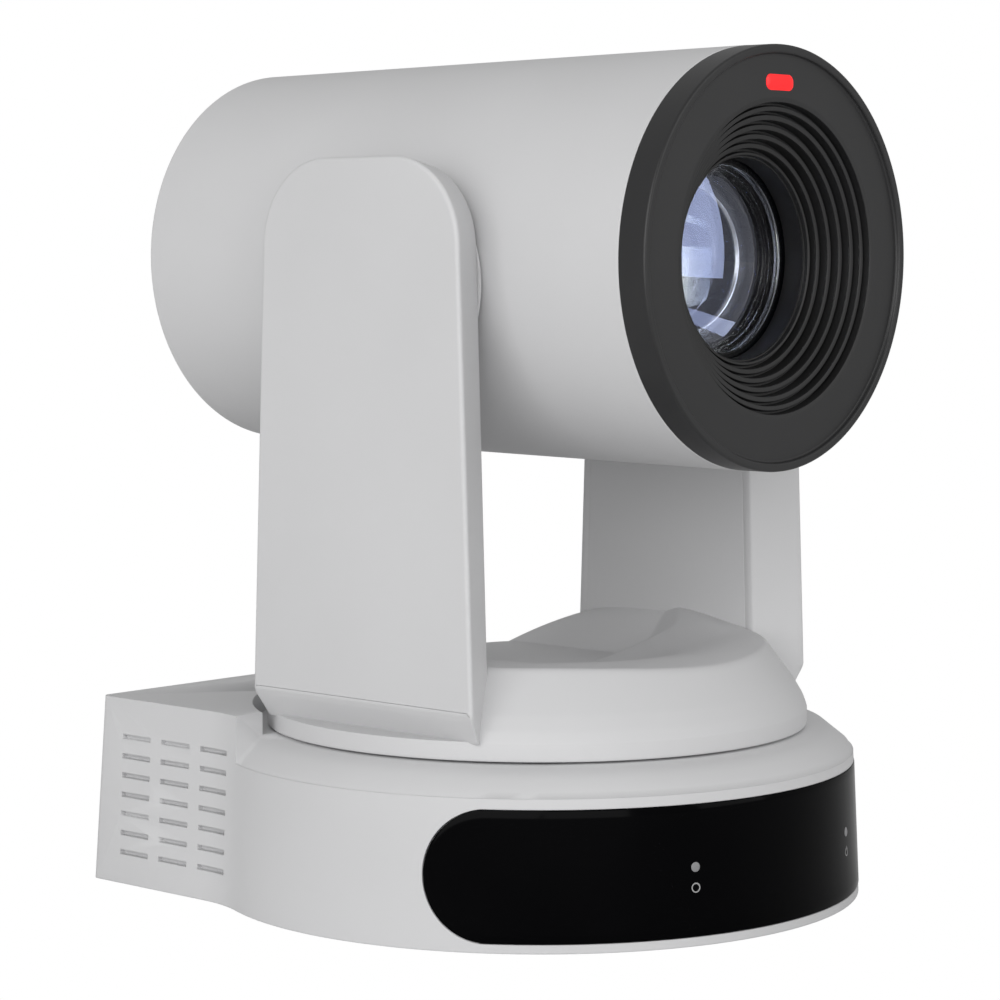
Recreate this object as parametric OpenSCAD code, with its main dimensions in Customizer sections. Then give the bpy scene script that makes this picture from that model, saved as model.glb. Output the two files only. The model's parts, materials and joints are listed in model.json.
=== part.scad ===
/* [Base] */
// Radius of the round front of the base at its underside
base_r = 66.2; // [64:0.1:70]
// Half width of the square rear of the base at its underside
box_half_w = 58.6; // [57:0.1:60]
// Distance from the pan axis to the rear face of the base
box_rear_y = 72; // [70:0.5:76]
// Height of the square rear of the base
box_h = 38.8; // [38:0.1:42]
// Height of the round deck that the turntable runs on
deck_z = 34.4; // [34:0.1:35]
// Inward lean of the moulded walls, per unit of height
draft = 0.045; // [0.02:0.005:0.06]
// Thickness of the moulded walls
wall = 2.4; // [2:0.1:3]

/* [Turntable] */
// Radius of the skirt of the turntable
skirt_r = 55.4; // [54:0.1:56]
// Radius of the pocket that the head swings in, about the tilt axis
swing_r = 84.8; // [84.6:0.1:86]

/* [Arms] */
// Distance from the pan axis to the outer face of an arm
arm_out_x = 52; // [51:0.5:54]
// Distance from the pan axis to the inner face of an arm
arm_in_x = 41.3; // [41.2:0.1:42]
// Height of the top of an arm
arm_top_z = 148.8; // [146:0.1:152]

/* [Head] */
// Height of the tilt axis, which is also the lens axis
tilt_z = 129.3; // [129:0.1:130]
// Radius of the head at its front end
head_front_r = 40.67; // [40:0.01:40.8]
// Radius of the head at its rear end
head_rear_r = 39.3; // [39:0.1:40]
// Distance from the tilt axis forward to the rim of the bezel
head_front = 62.15; // [62:0.05:63]
// Distance from the tilt axis back to the rear edge of the head
head_rear = 74.1; // [73:0.1:74.4]
// Thickness of the black bezel
bezel_t = 6.35; // [6:0.05:7]
// Radius of the opening in front of the lens
bezel_open_r = 19.4; // [19:0.1:20]
// Number of ribs on the funnel of the bezel
ribs = 7; // [5:1:8]

/* [Drives] */
// Radius of the pan wheel that the belt drives
pan_wheel_r = 24; // [22:0.5:24]
// Radius of the pan motor pulley
pan_pulley_r = 6; // [5:0.5:7]
// Radius of the tilt wheel that stands still on the yoke
tilt_wheel_r = 15; // [13:0.5:15]
// Radius of the tilt motor pulley
tilt_pulley_r = 5; // [4.5:0.5:6]

/* [Hidden] */
$fn = 96;
eps = 0.01;

foot_h = 0.5;
light_grey = [0.80, 0.80, 0.81];
dark_plastic = [0.12, 0.12, 0.13];
steel = [0.62, 0.63, 0.65];
board_green = [0.05, 0.30, 0.16];

// ---- Base outline: a round front blended into a square rear ----
blend_r = 30;
corner_r = 1.6;
blend_x = box_half_w + blend_r;
blend_y = sqrt(pow(base_r + blend_r, 2) - pow(blend_x, 2));
blend_a = atan2(blend_y, blend_x);

function arc(cx, cy, r, a0, a1, n) =
    [for (i = [0:n]) let (a = a0 + (a1 - a0) * i / n) [cx + r * cos(a), cy + r * sin(a)]];

function half_outline(d) = concat(
    arc(0, 0, base_r - d, -90, blend_a, 48),
    arc(blend_x, blend_y, blend_r + d, 180 + blend_a, 180, 10),
    arc(box_half_w - d - corner_r, box_rear_y - d - corner_r, corner_r, 0, 90, 4));

function outline(d) = let (h = half_outline(d), n = len(h))
    concat(h, [for (i = [n - 1:-1:1]) [-h[i][0], h[i][1]]]);

// A solid between two heights, its wall inset by d0 below and d1 above
module drafted(z0, d0, z1, d1) {
    low = outline(d0);
    high = outline(d1);
    n = len(low);
    polyhedron(
        points = concat([for (p = low) [p[0], p[1], z0]], [for (p = high) [p[0], p[1], z1]]),
        faces = concat(
            [[for (i = [0:n - 1]) i]],
            [[for (i = [n - 1:-1:0]) n + i]],
            [for (i = [0:n - 1]) [i, n + i, n + (i + 1) % n, (i + 1) % n]]));
}

// ---- Front window band ----
window_low = 2.2;
window_high = 27.4;
window_end = 67.3;
window_mid_z = (window_low + window_high) / 2;
window_end_r = (window_high - window_low) / 2;
window_cap_a = window_end - asin(window_end_r / base_r);
window_depth = 1.5;
light_a = 21.3;
light_z = 15.5;

// Surface radius of the round front at a height
function front_r(z) = base_r - draft * z;

// Points along a radius that leaves the pan axis at angle a from the front
module radial(a, z) {
    translate([0, 0, z])
        rotate([0, 0, a])
            rotate([90, 0, 0])
                children();
}

// A band with round ends that follows the round front
module window_band(depth, proud, grow) {
    low = window_low - grow;
    high = window_high + grow;
    reach = window_end + 4;
    difference() {
        rotate([0, 0, -90 - reach])
            rotate_extrude(angle = 2 * reach, $fn = 180)
                polygon([
                    [front_r(low) - depth, low], [front_r(low) + proud, low],
                    [front_r(high) + proud, high], [front_r(high) - depth, high]
                ]);
        for (s = [-1, 1])
            difference() {
                radial(s * window_cap_a, window_mid_z)
                    translate([s > 0 ? 0 : -40, -20, 50])
                        cube([40, 40, 30]);
                radial(s * window_cap_a, window_mid_z)
                    translate([0, 0, 40])
                        cylinder(r = window_end_r + grow + 0.1, h = 50, $fn = 96);
            }
    }
}

// ---- Base shell ----
recess_r = 58.4;
recess_wall = 1.8;
opening_low = 6;
opening_high = 31;
opening_half_w = 50.5;
ceiling_z = 32;
shoulder_z = 27.5;
step_y = 27.6;
bearing_r = 21;
bearing_low = 27.4;
post_r = 3.6;
screw_spots = [[-51.2, 52], [51.2, 52], [-41, -38], [41, -38]];
bracket_spots = [[-26, -36], [26, -36]];
vent_len = 8.5;
vent_h = 1;
vent_depth = 1.2;

module chamfer_cutter() {
    difference() {
        rotate_extrude($fn = 180)
            polygon([
                [0, deck_z + 0.2], [59.4, deck_z - 0.2], [63.9, 30.6], [64.7, 29.4],
                [110, 29.4], [110, 60], [0, 60]
            ]);
        translate([-120, step_y, 0])
            cube([240, 120, 80]);
    }
}

module vents() {
    for (s = [-1, 1], col = [0:2], row = [0:6])
        translate([s * (box_half_w - draft * (7 + 3.98 * row) - vent_depth + 4), 35.6 + 11.8 * col, 7 + 3.98 * row])
            cube([8, vent_len, vent_h], center = true);
}

module base_housing() {
    color(light_grey)
    difference() {
        union() {
            difference() {
                drafted(foot_h, 0, box_h, draft * box_h);
                chamfer_cutter();
                translate([0, 0, deck_z])
                    cylinder(r = recess_r, h = 20, $fn = 180);
                drafted(0, wall, shoulder_z, wall + draft * shoulder_z);
                translate([0, 0, shoulder_z - eps])
                    cylinder(r = 58, h = ceiling_z - shoulder_z + eps, $fn = 180);
                difference() {
                    translate([-54, step_y + wall, shoulder_z - eps])
                        cube([108, 68 - step_y - wall, box_h - wall - shoulder_z]);
                    translate([0, 0, ceiling_z])
                        cylinder(r = recess_r + recess_wall, h = 60, $fn = 180);
                }
                vents();
            }
            translate([0, 0, bearing_low - 0.6])
                cylinder(r = bearing_r + 2.6, h = deck_z - bearing_low + 0.6);
            for (p = screw_spots)
                translate([p[0], p[1], foot_h + plate_t])
                    cylinder(r = post_r, h = (p[1] > 0 ? box_h - wall : ceiling_z) - foot_h - plate_t + 0.2, $fn = 32);
            for (p = bracket_spots)
                translate([p[0], p[1], 20])
                    cylinder(r = post_r, h = 12.1, $fn = 32);
        }
        translate([0, 0, bearing_low])
            cylinder(r = bearing_r, h = 20);
        cylinder(r = bearing_r - 2, h = 60);
        translate([-opening_half_w, 60, opening_low])
            cube([2 * opening_half_w, 20, opening_high - opening_low]);
        window_band(window_depth, 1, 0);
        for (a = [-light_a, light_a])
            radial(a, light_z)
                translate([0, 0, 58])
                    cylinder(r = 1.1, h = 10, $fn = 32);
        radial(0, window_mid_z)
            translate([0, 0, 58])
                cylinder(r = 4, h = 10, $fn = 32);
        for (p = screw_spots)
            translate([p[0], p[1], 0])
                cylinder(r = 1.25, h = 14, $fn = 24);
        for (p = bracket_spots)
            translate([p[0], p[1], 0])
                cylinder(r = 1.25, h = 28, $fn = 24);
    }
}

foot_spots = [[-44, -27], [44, -27], [-43, 60], [43, 60]];
plate_t = 2;

module base_plate() {
    color(dark_plastic)
    difference() {
        drafted(foot_h, wall + 0.1, foot_h + plate_t, wall + 0.2);
        translate([0, 0, -1])
            cylinder(r = 6.5, h = 10);
        for (p = foot_spots)
            translate([p[0], p[1], foot_h - eps])
                cylinder(r = 6, h = 0.8, $fn = 48);
        for (p = screw_spots)
            translate([p[0], p[1], 0])
                cylinder(r = 1.6, h = 6, $fn = 24);
        for (p = screw_spots)
            translate([p[0], p[1], foot_h - eps])
                cylinder(r1 = 3.1, r2 = 1.6, h = 1.5, $fn = 24);
    }
}

socket_r = 3.175;
socket_depth = 8;

module tripod_insert() {
    color(steel)
    difference() {
        union() {
            cylinder(r = 6.5, h = 9.5);
            translate([0, 0, foot_h + plate_t])
                cylinder(r = 9.5, h = 2);
        }
        translate([0, 0, -eps])
            cylinder(r = socket_r, h = socket_depth);
    }
}

module rubber_feet() {
    color([0.08, 0.08, 0.08])
    for (p = foot_spots)
        translate([p[0], p[1], 0])
            cylinder(r = 5.8, h = foot_h + 0.78, $fn = 48);
}

// Cross-headed screw with its head down at z = 0
module screw(r, head_r, head_h, len) {
    difference() {
        union() {
            cylinder(r1 = head_r, r2 = r, h = head_h, $fn = 32);
            cylinder(r = r, h = len, $fn = 24);
        }
        for (a = [0, 90])
            rotate([0, 0, a])
                translate([-head_r * 0.6, -0.3, -eps])
                    cube([head_r * 1.2, 0.6, 0.7]);
    }
}

module base_screws() {
    color(steel)
    for (p = screw_spots)
        translate([p[0], p[1], foot_h + 0.1])
            screw(1.2, 2.7, 1.3, 11);
}

module front_window() {
    color([0.02, 0.02, 0.02])
    difference() {
        window_band(window_depth, 0.12, -0.1);
        for (a = [-light_a, light_a])
            radial(a, light_z)
                translate([0, 0, 60])
                    cylinder(r = 1.05, h = 8, $fn = 32);
    }
}

module indicator(a) {
    radial(a, light_z)
        translate([0, 0, 62])
            cylinder(r = 1, h = front_r(light_z) - 62 + 0.1, $fn = 32);
}

module standby_light() {
    color([0.45, 0.45, 0.47])
    indicator(-light_a);
}

module power_light() {
    color([0.45, 0.45, 0.47])
    indicator(light_a);
}

module ir_receiver() {
    color([0.15, 0.05, 0.08])
    radial(0, window_mid_z)
        translate([0, 0, 57.2]) {
            cylinder(r = 3, h = 5, $fn = 32);
            translate([0, 0, 0.7])
                cube([8, 8, 1.4], center = true);
        }
}

module indicator_board() {
    color(board_green)
    translate([-22, -57.2, 8.5])
        cube([44, 1.4, 13]);
}

// ---- Rear connectors ----
panel_y = 62;
board_y = 49.6;
row_low = 13;
row_high = 22.4;

// Cuts a connector's outline through the panel and its board side
module panel_box(x, z, w, h) {
    translate([x - w / 2, panel_y - 4, z - h / 2])
        cube([w, 8, h]);
}

module toward_rear(x, y, z) {
    translate([x, y, z])
        rotate([-90, 0, 0])
            children();
}

dc_x = -43;
hdmi_x = -25;
sdi_x = -8;
lan_x = 11;
usb_x = 30;
switch_x = -41;
switch_z = 23;
switch_h = 7;
serial_x = [-20, -3];
audio_x = 24;
dial_x = 37;

module rear_panel() {
    color(dark_plastic)
    difference() {
        translate([-opening_half_w - 1.5, panel_y - 1.5, opening_low - 1.5])
            cube([2 * opening_half_w + 3, 6.9, opening_high - opening_low + 3]);
        translate([-opening_half_w, panel_y, opening_low])
            cube([2 * opening_half_w, 20, opening_high - opening_low]);
        panel_box(dc_x, row_low, 9.1, 10.1);
        panel_box(hdmi_x, row_low, 15.3, 6.3);
        toward_rear(sdi_x, panel_y - 5, row_low)
            cylinder(r = 5.05, h = 8, $fn = 48);
        panel_box(lan_x, row_low, 16.1, 13.6);
        panel_box(usb_x, row_low, 14.6, 7.1);
        panel_box(switch_x, switch_z, 13.1, switch_h + 0.6);
        for (x = serial_x)
            toward_rear(x, panel_y - 5, row_high)
                cylinder(r = 4.85, h = 8, $fn = 48);
        toward_rear(audio_x, panel_y - 5, row_high)
            cylinder(r = 3.05, h = 8, $fn = 32);
        toward_rear(dial_x, panel_y - 5, row_high)
            cylinder(r = 4.3, h = 8, $fn = 48);
    }
}

module dc_jack() {
    color(dark_plastic) {
        difference() {
            translate([dc_x - 4.5, board_y, row_low - 5])
                cube([9, panel_y + 1.5 - board_y, 10]);
            toward_rear(dc_x, board_y - 1, row_low)
                cylinder(r = 2.9, h = 20, $fn = 48);
        }
        toward_rear(dc_x, board_y, row_low) {
            cylinder(r = 2.85, h = 2, $fn = 48);
            cylinder(r = 1, h = 11, $fn = 24);
        }
    }
}

module hdmi_port() {
    color(steel) {
        difference() {
            translate([hdmi_x - 7.6, board_y, row_low - 3.1])
                cube([15.2, panel_y + 1 - board_y, 6.2]);
            translate([hdmi_x - 7, board_y + 2, row_low - 2.5])
                cube([14, 20, 5]);
        }
        translate([hdmi_x - 5.5, board_y + 1, row_low - 0.5])
            cube([11, 10, 1]);
    }
}

module sdi_port() {
    color(steel) {
        difference() {
            union() {
                toward_rear(sdi_x, board_y, row_low)
                    cylinder(r = 4.95, h = panel_y + 1.5 - board_y, $fn = 48);
                toward_rear(sdi_x, board_y, row_low)
                    cylinder(r = 4.6, h = 20, $fn = 48);
                for (s = [-1, 1])
                    toward_rear(sdi_x, board_y + 17.5, row_low)
                        translate([s * 4.6, 0, 0])
                            cylinder(r = 0.9, h = 2, $fn = 16);
            }
            toward_rear(sdi_x, board_y + 10, row_low)
                cylinder(r = 3.6, h = 20, $fn = 48);
        }
        toward_rear(sdi_x, board_y + 9, row_low)
            cylinder(r = 0.8, h = 9, $fn = 24);
    }
}

module lan_port() {
    color(steel)
    difference() {
        translate([lan_x - 8, board_y, row_low - 6.75])
            cube([16, panel_y + 1 - board_y, 13.5]);
        translate([lan_x - 5.9, board_y + 1.5, row_low - 4.2])
            cube([11.8, 20, 8]);
        translate([lan_x - 3, board_y + 4, row_low + 3.7])
            cube([6, 20, 1.8]);
    }
}

module usb_port() {
    color(steel) {
        difference() {
            translate([usb_x - 7.25, board_y, row_low - 3.5])
                cube([14.5, panel_y + 1 - board_y, 7]);
            translate([usb_x - 6.5, board_y + 2, row_low - 2.8])
                cube([13, 20, 5.6]);
        }
        translate([usb_x - 5.5, board_y + 1, row_low + 0.5])
            cube([11, 10, 1.6]);
    }
}

module serial_ports() {
    color(dark_plastic)
    for (x = serial_x)
        difference() {
            toward_rear(x, board_y, row_high)
                cylinder(r = 4.75, h = panel_y + 1 - board_y, $fn = 48);
            difference() {
                toward_rear(x, board_y + 7, row_high)
                    cylinder(r = 4.2, h = 20, $fn = 48);
                toward_rear(x, board_y + 6, row_high)
                    cylinder(r = 2.9, h = 6.4, $fn = 32);
            }
        }
}

module audio_jack() {
    color(dark_plastic)
    difference() {
        toward_rear(audio_x, board_y, row_high)
            cylinder(r = 2.95, h = panel_y + 1.5 - board_y, $fn = 32);
        toward_rear(audio_x, board_y + 1.5, row_high)
            cylinder(r = 1.8, h = 20, $fn = 32);
    }
}

module select_dial() {
    color([0.75, 0.75, 0.76])
    toward_rear(dial_x, board_y + 3, row_high)
        difference() {
            cylinder(r = 4, h = panel_y - board_y - 2.6, $fn = 48);
            translate([-3.2, -0.45, panel_y - board_y - 3.4])
                cube([6.4, 0.9, 2]);
            translate([2.4, 0, panel_y - board_y - 3])
                cylinder(r = 0.6, h = 2, $fn = 16);
        }
}

rocker_y = panel_y - 1;
rocker_a = 8;

module power_switch() {
    color([0.05, 0.05, 0.05])
    translate([switch_x, rocker_y, switch_z - switch_h / 2])
        rotate([0, 0, -rocker_a])
            linear_extrude(switch_h) {
                polygon([[-5.8, 0.6], [5.8, 0.6], [5.7, 2.7], [0, 1.9], [-5.7, 2.7]]);
                circle(r = 1.8, $fn = 48);
            }
}

module main_board() {
    color(board_green)
    difference() {
        translate([-47, board_y - 1.6, 4.4])
            cube([94, 1.6, 22.8]);
        for (x = [-44, 44], z = [7.5, 24])
            toward_rear(x, board_y - 3, z)
                cylinder(r = 1.6, h = 6, $fn = 24);
    }
}

module heat_sink() {
    color([0.72, 0.73, 0.75])
    translate([-20, board_y - 1.6 - 9, 8]) {
        translate([0, 7, 0])
            cube([40, 2, 18]);
        for (i = [0:9])
            translate([i * 4.2, 0, 0])
                cube([1.4, 8, 18]);
    }
}

// ---- Pan drive ----
spindle_r = 15;
pan_motor_y = -36;
wheel_low = 20.4;
wheel_high = 26.4;
flange_t = 0.6;
belt_gap = 0.3;
belt_t = 1;

module pan_bearing() {
    color(steel)
    rotate_extrude()
        polygon([
            [spindle_r + 0.05, bearing_low], [bearing_r, bearing_low],
            [bearing_r, deck_z], [19, deck_z], [18.4, deck_z - 0.5], [17.6, deck_z - 0.5],
            [17, deck_z], [spindle_r + 0.05, deck_z]
        ]);
}

module pan_motor_bracket() {
    color(steel)
    difference() {
        translate([-30, pan_motor_y - 13, 18.5])
            cube([60, 26, 1.5]);
        translate([0, pan_motor_y, 10])
            cylinder(r = 8.2, h = 20);
        for (p = bracket_spots)
            translate([p[0], p[1], 10])
                cylinder(r = 1.6, h = 20, $fn = 24);
    }
}

module pan_motor() {
    color(dark_plastic)
    difference() {
        union() {
            translate([0, pan_motor_y, 10.7])
                intersection() {
                    cube([35, 35, 15.6], center = true);
                    rotate([0, 0, 45])
                        cube([44, 44, 30], center = true);
                }
            translate([0, pan_motor_y, 12])
                cylinder(r = 8, h = 7.5);
        }
        translate([0, pan_motor_y, 6])
            cylinder(r = 2.55, h = 20, $fn = 48);
    }
}

// Toothed-belt pulley with two flanges, standing on z = 0
module pulley(r, h, bore_r, flange_r) {
    difference() {
        union() {
            cylinder(r = r, h = h);
            cylinder(r = flange_r, h = flange_t);
            translate([0, 0, h - flange_t])
                cylinder(r = flange_r, h = flange_t);
        }
        translate([0, 0, -1])
            cylinder(r = bore_r, h = h + 2);
    }
}

module pan_motor_pulley() {
    color(steel)
    translate([0, pan_motor_y, 0]) {
        translate([0, 0, wheel_low])
            pulley(pan_pulley_r, wheel_high - wheel_low, 2.4, pan_pulley_r + 1.4);
        translate([0, 0, 7])
            cylinder(r = 2.5, h = wheel_high - 6.5, $fn = 48);
    }
}

// A belt round two pulleys that lie a distance apart along the first axis
module belt(r0, r1, distance, width) {
    linear_extrude(width)
        difference() {
            hull() {
                circle(r = r0 + belt_gap + belt_t, $fn = 64);
                translate([distance, 0])
                    circle(r = r1 + belt_gap + belt_t, $fn = 32);
            }
            hull() {
                circle(r = r0 + belt_gap, $fn = 64);
                translate([distance, 0])
                    circle(r = r1 + belt_gap, $fn = 32);
            }
        }
}

module pan_belt() {
    color([0.06, 0.06, 0.06])
    translate([0, 0, wheel_low + flange_t + 0.3])
        rotate([0, 0, -90])
            belt(pan_wheel_r, pan_pulley_r, -pan_motor_y, wheel_high - wheel_low - 2 * flange_t - 0.6);
}

module pan_wheel() {
    color([0.15, 0.15, 0.16])
    translate([0, 0, wheel_low])
        difference() {
            pulley(pan_wheel_r, wheel_high - wheel_low, spindle_r + 0.02, pan_wheel_r + 1);
            for (a = [0:60:300])
                rotate([0, 0, a])
                    translate([19.4, 0, -1])
                        cylinder(r = 2.6, h = 10, $fn = 32);
        }
}

spindle_bore_r = 9;
frame_low = 36.4;
frame_t = 2;

module yoke_screw_holes(r) {
    for (a = [45:90:315])
        rotate([0, 0, a])
            translate([18, 0, 20])
                cylinder(r = r, h = 40, $fn = 24);
}

module pan_spindle() {
    color(steel)
    difference() {
        rotate_extrude()
            polygon([
                [spindle_bore_r, wheel_low - 0.8], [spindle_r, wheel_low - 0.8],
                [spindle_r, deck_z + 0.5], [21, deck_z + 0.5], [21, frame_low], [spindle_bore_r, frame_low]
            ]);
        yoke_screw_holes(1.5);
    }
}

// ---- Turntable ----
table_low = deck_z + 0.5;
ledge_z = 38.4;
table_wall = 2.2;

// Height of the top of the turntable along the fore-and-aft line
roof = [
    [-60, 46], [-50, 49.6], [-46, 50.5], [-41, 51.1], [-35, 51.4], [-24, 51.5], [-19, 52.1],
    [-13, 53.3], [-7, 54.8], [-2, 55.9], [3, 56.2], [9, 55.3], [15, 54], [21, 52.8],
    [25, 51.8], [30, 50], [36, 48], [60, 38]
];

module roof_solid(drop) {
    rotate([90, 0, 90])
        translate([0, 0, -70])
            linear_extrude(140)
                polygon(concat([[-60, 0]], [for (p = roof) [p[0], p[1] - drop]], [[60, 0]]));
}

// Pocket behind the centre where the rear of the head comes down
module rear_trough(grow) {
    floor_z = tilt_z - swing_r - grow;
    translate([0, -grow, 0])
        rotate([90, 0, 180])
            linear_extrude(70)
                polygon([
                    [-33 - grow, floor_z], [33 + grow, floor_z], [37 + grow, floor_z + 4.2],
                    [41 + grow, floor_z + 9.6], [44 + grow, 70], [-44 - grow, 70],
                    [-41 - grow, floor_z + 9.6], [-37 - grow, floor_z + 4.2]
                ]);
}

module table_cone(inset) {
    rotate_extrude($fn = 180)
        polygon([
            [0, table_low - 3], [skirt_r - inset, table_low - 3], [skirt_r - inset, ledge_z - inset],
            [54.6 - inset, 40.3 - inset], [46.8 - inset, 51.5], [43.4 - inset, 57], [0, 57]
        ]);
}

module table_form(inset) {
    difference() {
        intersection() {
            table_cone(inset);
            roof_solid(inset);
        }
        translate([0, 0, tilt_z])
            sphere(r = swing_r + inset, $fn = 180);
        rear_trough(inset);
    }
}

// The place of the two arms, cut out of the turntable
module arm_niches() {
    for (s = [-1, 1])
        scale([s, 1, 1]) {
            arm_form(0);
            translate([arm_out_x - 4, -30, ledge_z])
                cube([20, 60, 30]);
        }
}

// The hollow under the turntable, kept away from the arms
module table_hollow() {
    difference() {
        table_form(table_wall);
        for (s = [-1, 1])
            translate([s * (arm_in_x - table_wall + 20), 0, ledge_z - table_wall + 20])
                cube([40, 64, 40], center = true);
    }
}

module upright_slots() {
    for (s = [-1, 1]) {
        translate([s * 45, 0, 50])
            cube([4.2, 32, 60], center = true);
        translate([s * 42, 0, ledge_z - 3])
            cube([9, 32, 6.6], center = true);
    }
}

module turntable() {
    color(light_grey)
    difference() {
        table_form(0);
        translate([-70, -70, 0])
            cube([140, 140, table_low]);
        table_hollow();
        upright_slots();
        arm_niches();
    }
}

// ---- Arms ----
arm_bottom_z = ledge_z;
arm_waist_z = 43.4;
arm_edge = 1.3;
arm_slope = 3.4;

// One slice of an arm: two round shoulders and two feet, at a distance x from the pan axis
module arm_slice(x, top_half, foot_half, shoulder_r, top_z, foot_z) {
    for (s = [-1, 1]) {
        translate([x, s * (top_half - shoulder_r), top_z - shoulder_r])
            rotate([0, 90, 0])
                cylinder(r = shoulder_r, h = eps, $fn = 48);
        translate([x, s * foot_half - eps / 2, foot_z])
            cube([eps, eps, eps]);
    }
}

// The outer form of an arm, inset by t all round
module arm_form(t) {
    floor_z = t > 0 ? arm_bottom_z - 1 : arm_bottom_z;
    hull() {
        arm_slice(t > 0 ? arm_in_x - 0.1 : arm_in_x, 21.3 - t, 24.3 - t, 16.4 - t, arm_top_z - 1 - t, floor_z);
        arm_slice(arm_out_x - arm_edge - t, 26.3 - t, 29.5 - t, 17 - t, arm_top_z - t, arm_waist_z);
        arm_slice(arm_out_x - eps - t, 25.1 - t, 28.3 - t, 15.8 - t, arm_top_z - 1.2 - t, arm_waist_z + 1.2);
        for (s = [-1, 1])
            translate([arm_out_x - arm_slope - t, s * (28.6 - t), floor_z])
                cube([eps, eps, eps], center = false);
    }
}

module arm_shell() {
    difference() {
        arm_form(0);
        arm_form(2);
    }
}

module right_arm() {
    color(light_grey)
    arm_shell();
}

module left_arm() {
    color(light_grey)
    mirror([1, 0, 0])
        arm_shell();
}

pad_z = 124.5;
pad_r = 22.2;
pad_x = 40.85;
hub_hole_r = 11;

module arm_cover_form() {
    difference() {
        union() {
            intersection() {
                arm_form(2);
                translate([arm_in_x, -40, arm_waist_z])
                    cube([1.6, 80, 120]);
            }
            translate([pad_x, 0, pad_z])
                rotate([0, 90, 0])
                    cylinder(r = pad_r, h = arm_in_x - pad_x, $fn = 96);
        }
        translate([30, 0, tilt_z])
            rotate([0, 90, 0])
                cylinder(r = hub_hole_r, h = 30, $fn = 64);
    }
}

module right_arm_cover() {
    color(light_grey)
    arm_cover_form();
}

module left_arm_cover() {
    color(light_grey)
    mirror([1, 0, 0])
        arm_cover_form();
}

// ---- Yoke frame inside the turntable and the arms ----
upright_x = 43.4;
upright_t = 2.4;
spindle_tilt_r = 7;
frame_screw_r = 40;

module yoke_frame() {
    color([0.70, 0.71, 0.73])
    difference() {
        union() {
            translate([0, 0, frame_low])
                cylinder(r = 40, h = frame_t);
            translate([-upright_x - upright_t, -14, frame_low])
                cube([2 * (upright_x + upright_t), 28, frame_t]);
            for (s = [-1, 1])
                translate([s * (upright_x + upright_t / 2) - upright_t / 2, -14, frame_low])
                    cube([upright_t, 28, tilt_z - frame_low]);
            for (s = [-1, 1])
                translate([s * (upright_x + upright_t / 2) - upright_t / 2, 0, tilt_z])
                    rotate([0, 90, 0])
                        cylinder(r = 14, h = upright_t, $fn = 64);
        }
        cylinder(r = spindle_bore_r, h = 60);
        yoke_screw_holes(1.6);
        translate([-60, 0, tilt_z])
            rotate([0, 90, 0])
                cylinder(r = spindle_tilt_r + 0.02, h = 120, $fn = 64);
        for (s = [-1, 1], z = [70, 98])
            translate([s * 44.6 - 5, 0, z])
                rotate([0, 90, 0])
                    cylinder(r = 7, h = 10, $fn = 48);
    }
}

module yoke_screws() {
    color(steel)
    for (a = [45:90:315])
        rotate([0, 0, a])
            translate([18, 0, table_low + 0.1]) {
                cylinder(r = 1.5, h = 4.4, $fn = 24);
                translate([0, 0, 3.5])
                    cylinder(r = 2.8, h = 1.7, $fn = 32);
            }
}

module tilt_spindle(inner_x, bore_r) {
    difference() {
        union() {
            translate([inner_x, 0, tilt_z])
                rotate([0, 90, 0])
                    cylinder(r = spindle_tilt_r, h = upright_x + upright_t - inner_x, $fn = 64);
            translate([upright_x + upright_t, 0, tilt_z])
                rotate([0, 90, 0])
                    cylinder(r = 9, h = 1.4, $fn = 64);
        }
        translate([inner_x - 1, 0, tilt_z])
            rotate([0, 90, 0])
                cylinder(r = bore_r, h = 40, $fn = 48);
    }
}

wheel_x = 21.9;
wheel_w = 3.2;

module right_tilt_spindle() {
    color(steel)
    tilt_spindle(27, 5.2);
}

module left_tilt_spindle() {
    color(steel)
    mirror([1, 0, 0])
        tilt_spindle(wheel_x, 2);
}

module tilt_wheel() {
    color([0.15, 0.15, 0.16])
    translate([-wheel_x, 0, tilt_z])
        rotate([0, -90, 0])
            pulley(tilt_wheel_r, wheel_w, spindle_tilt_r + 0.02, tilt_wheel_r + 1);
}

// ---- Head ----
// Children are drawn with +Z forward along the lens axis
module lens_axis() {
    translate([0, 0, tilt_z])
        rotate([90, 0, 0])
            children();
}

shell_front = head_front - bezel_t;
shell_inner = 2.4;
side_hole_r = 9.2;
cap_screw_r = 31;
cap_angles = [30, 150, 270];
boss_end = -head_rear + 2.8;

module head_shell() {
    color(light_grey)
    difference() {
        union() {
            head_tube();
            lens_axis()
                for (a = cap_angles)
                    rotate([0, 0, a]) {
                        translate([cap_screw_r, 0, boss_end])
                            cylinder(r = 2.8, h = 12, $fn = 32);
                        translate([cap_screw_r, -0.9, boss_end])
                            cube([6.6, 1.8, 12]);
                    }
        }
        lens_axis()
            for (a = cap_angles)
                rotate([0, 0, a])
                    translate([cap_screw_r, 0, boss_end - 1])
                        cylinder(r = 1.25, h = 10, $fn = 24);
    }
}

module head_tube() {
    difference() {
        lens_axis()
            rotate_extrude($fn = 180)
                polygon([
                    [head_rear_r - shell_inner, -head_rear + 3], [head_rear_r - shell_inner, -head_rear + 0.4],
                    [head_rear_r - shell_inner + 0.4, -head_rear],
                    [head_rear_r - 0.5, -head_rear], [head_rear_r, -head_rear + 0.5],
                    [head_front_r, shell_front], [head_front_r - shell_inner, shell_front]
                ]);
        translate([-60, 0, tilt_z])
            rotate([0, 90, 0])
                cylinder(r = side_hole_r, h = 120, $fn = 64);
    }
}

cap_r = head_rear_r - shell_inner - 0.1;
cap_low = -head_rear + 0.8;
cap_t = 2;

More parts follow.
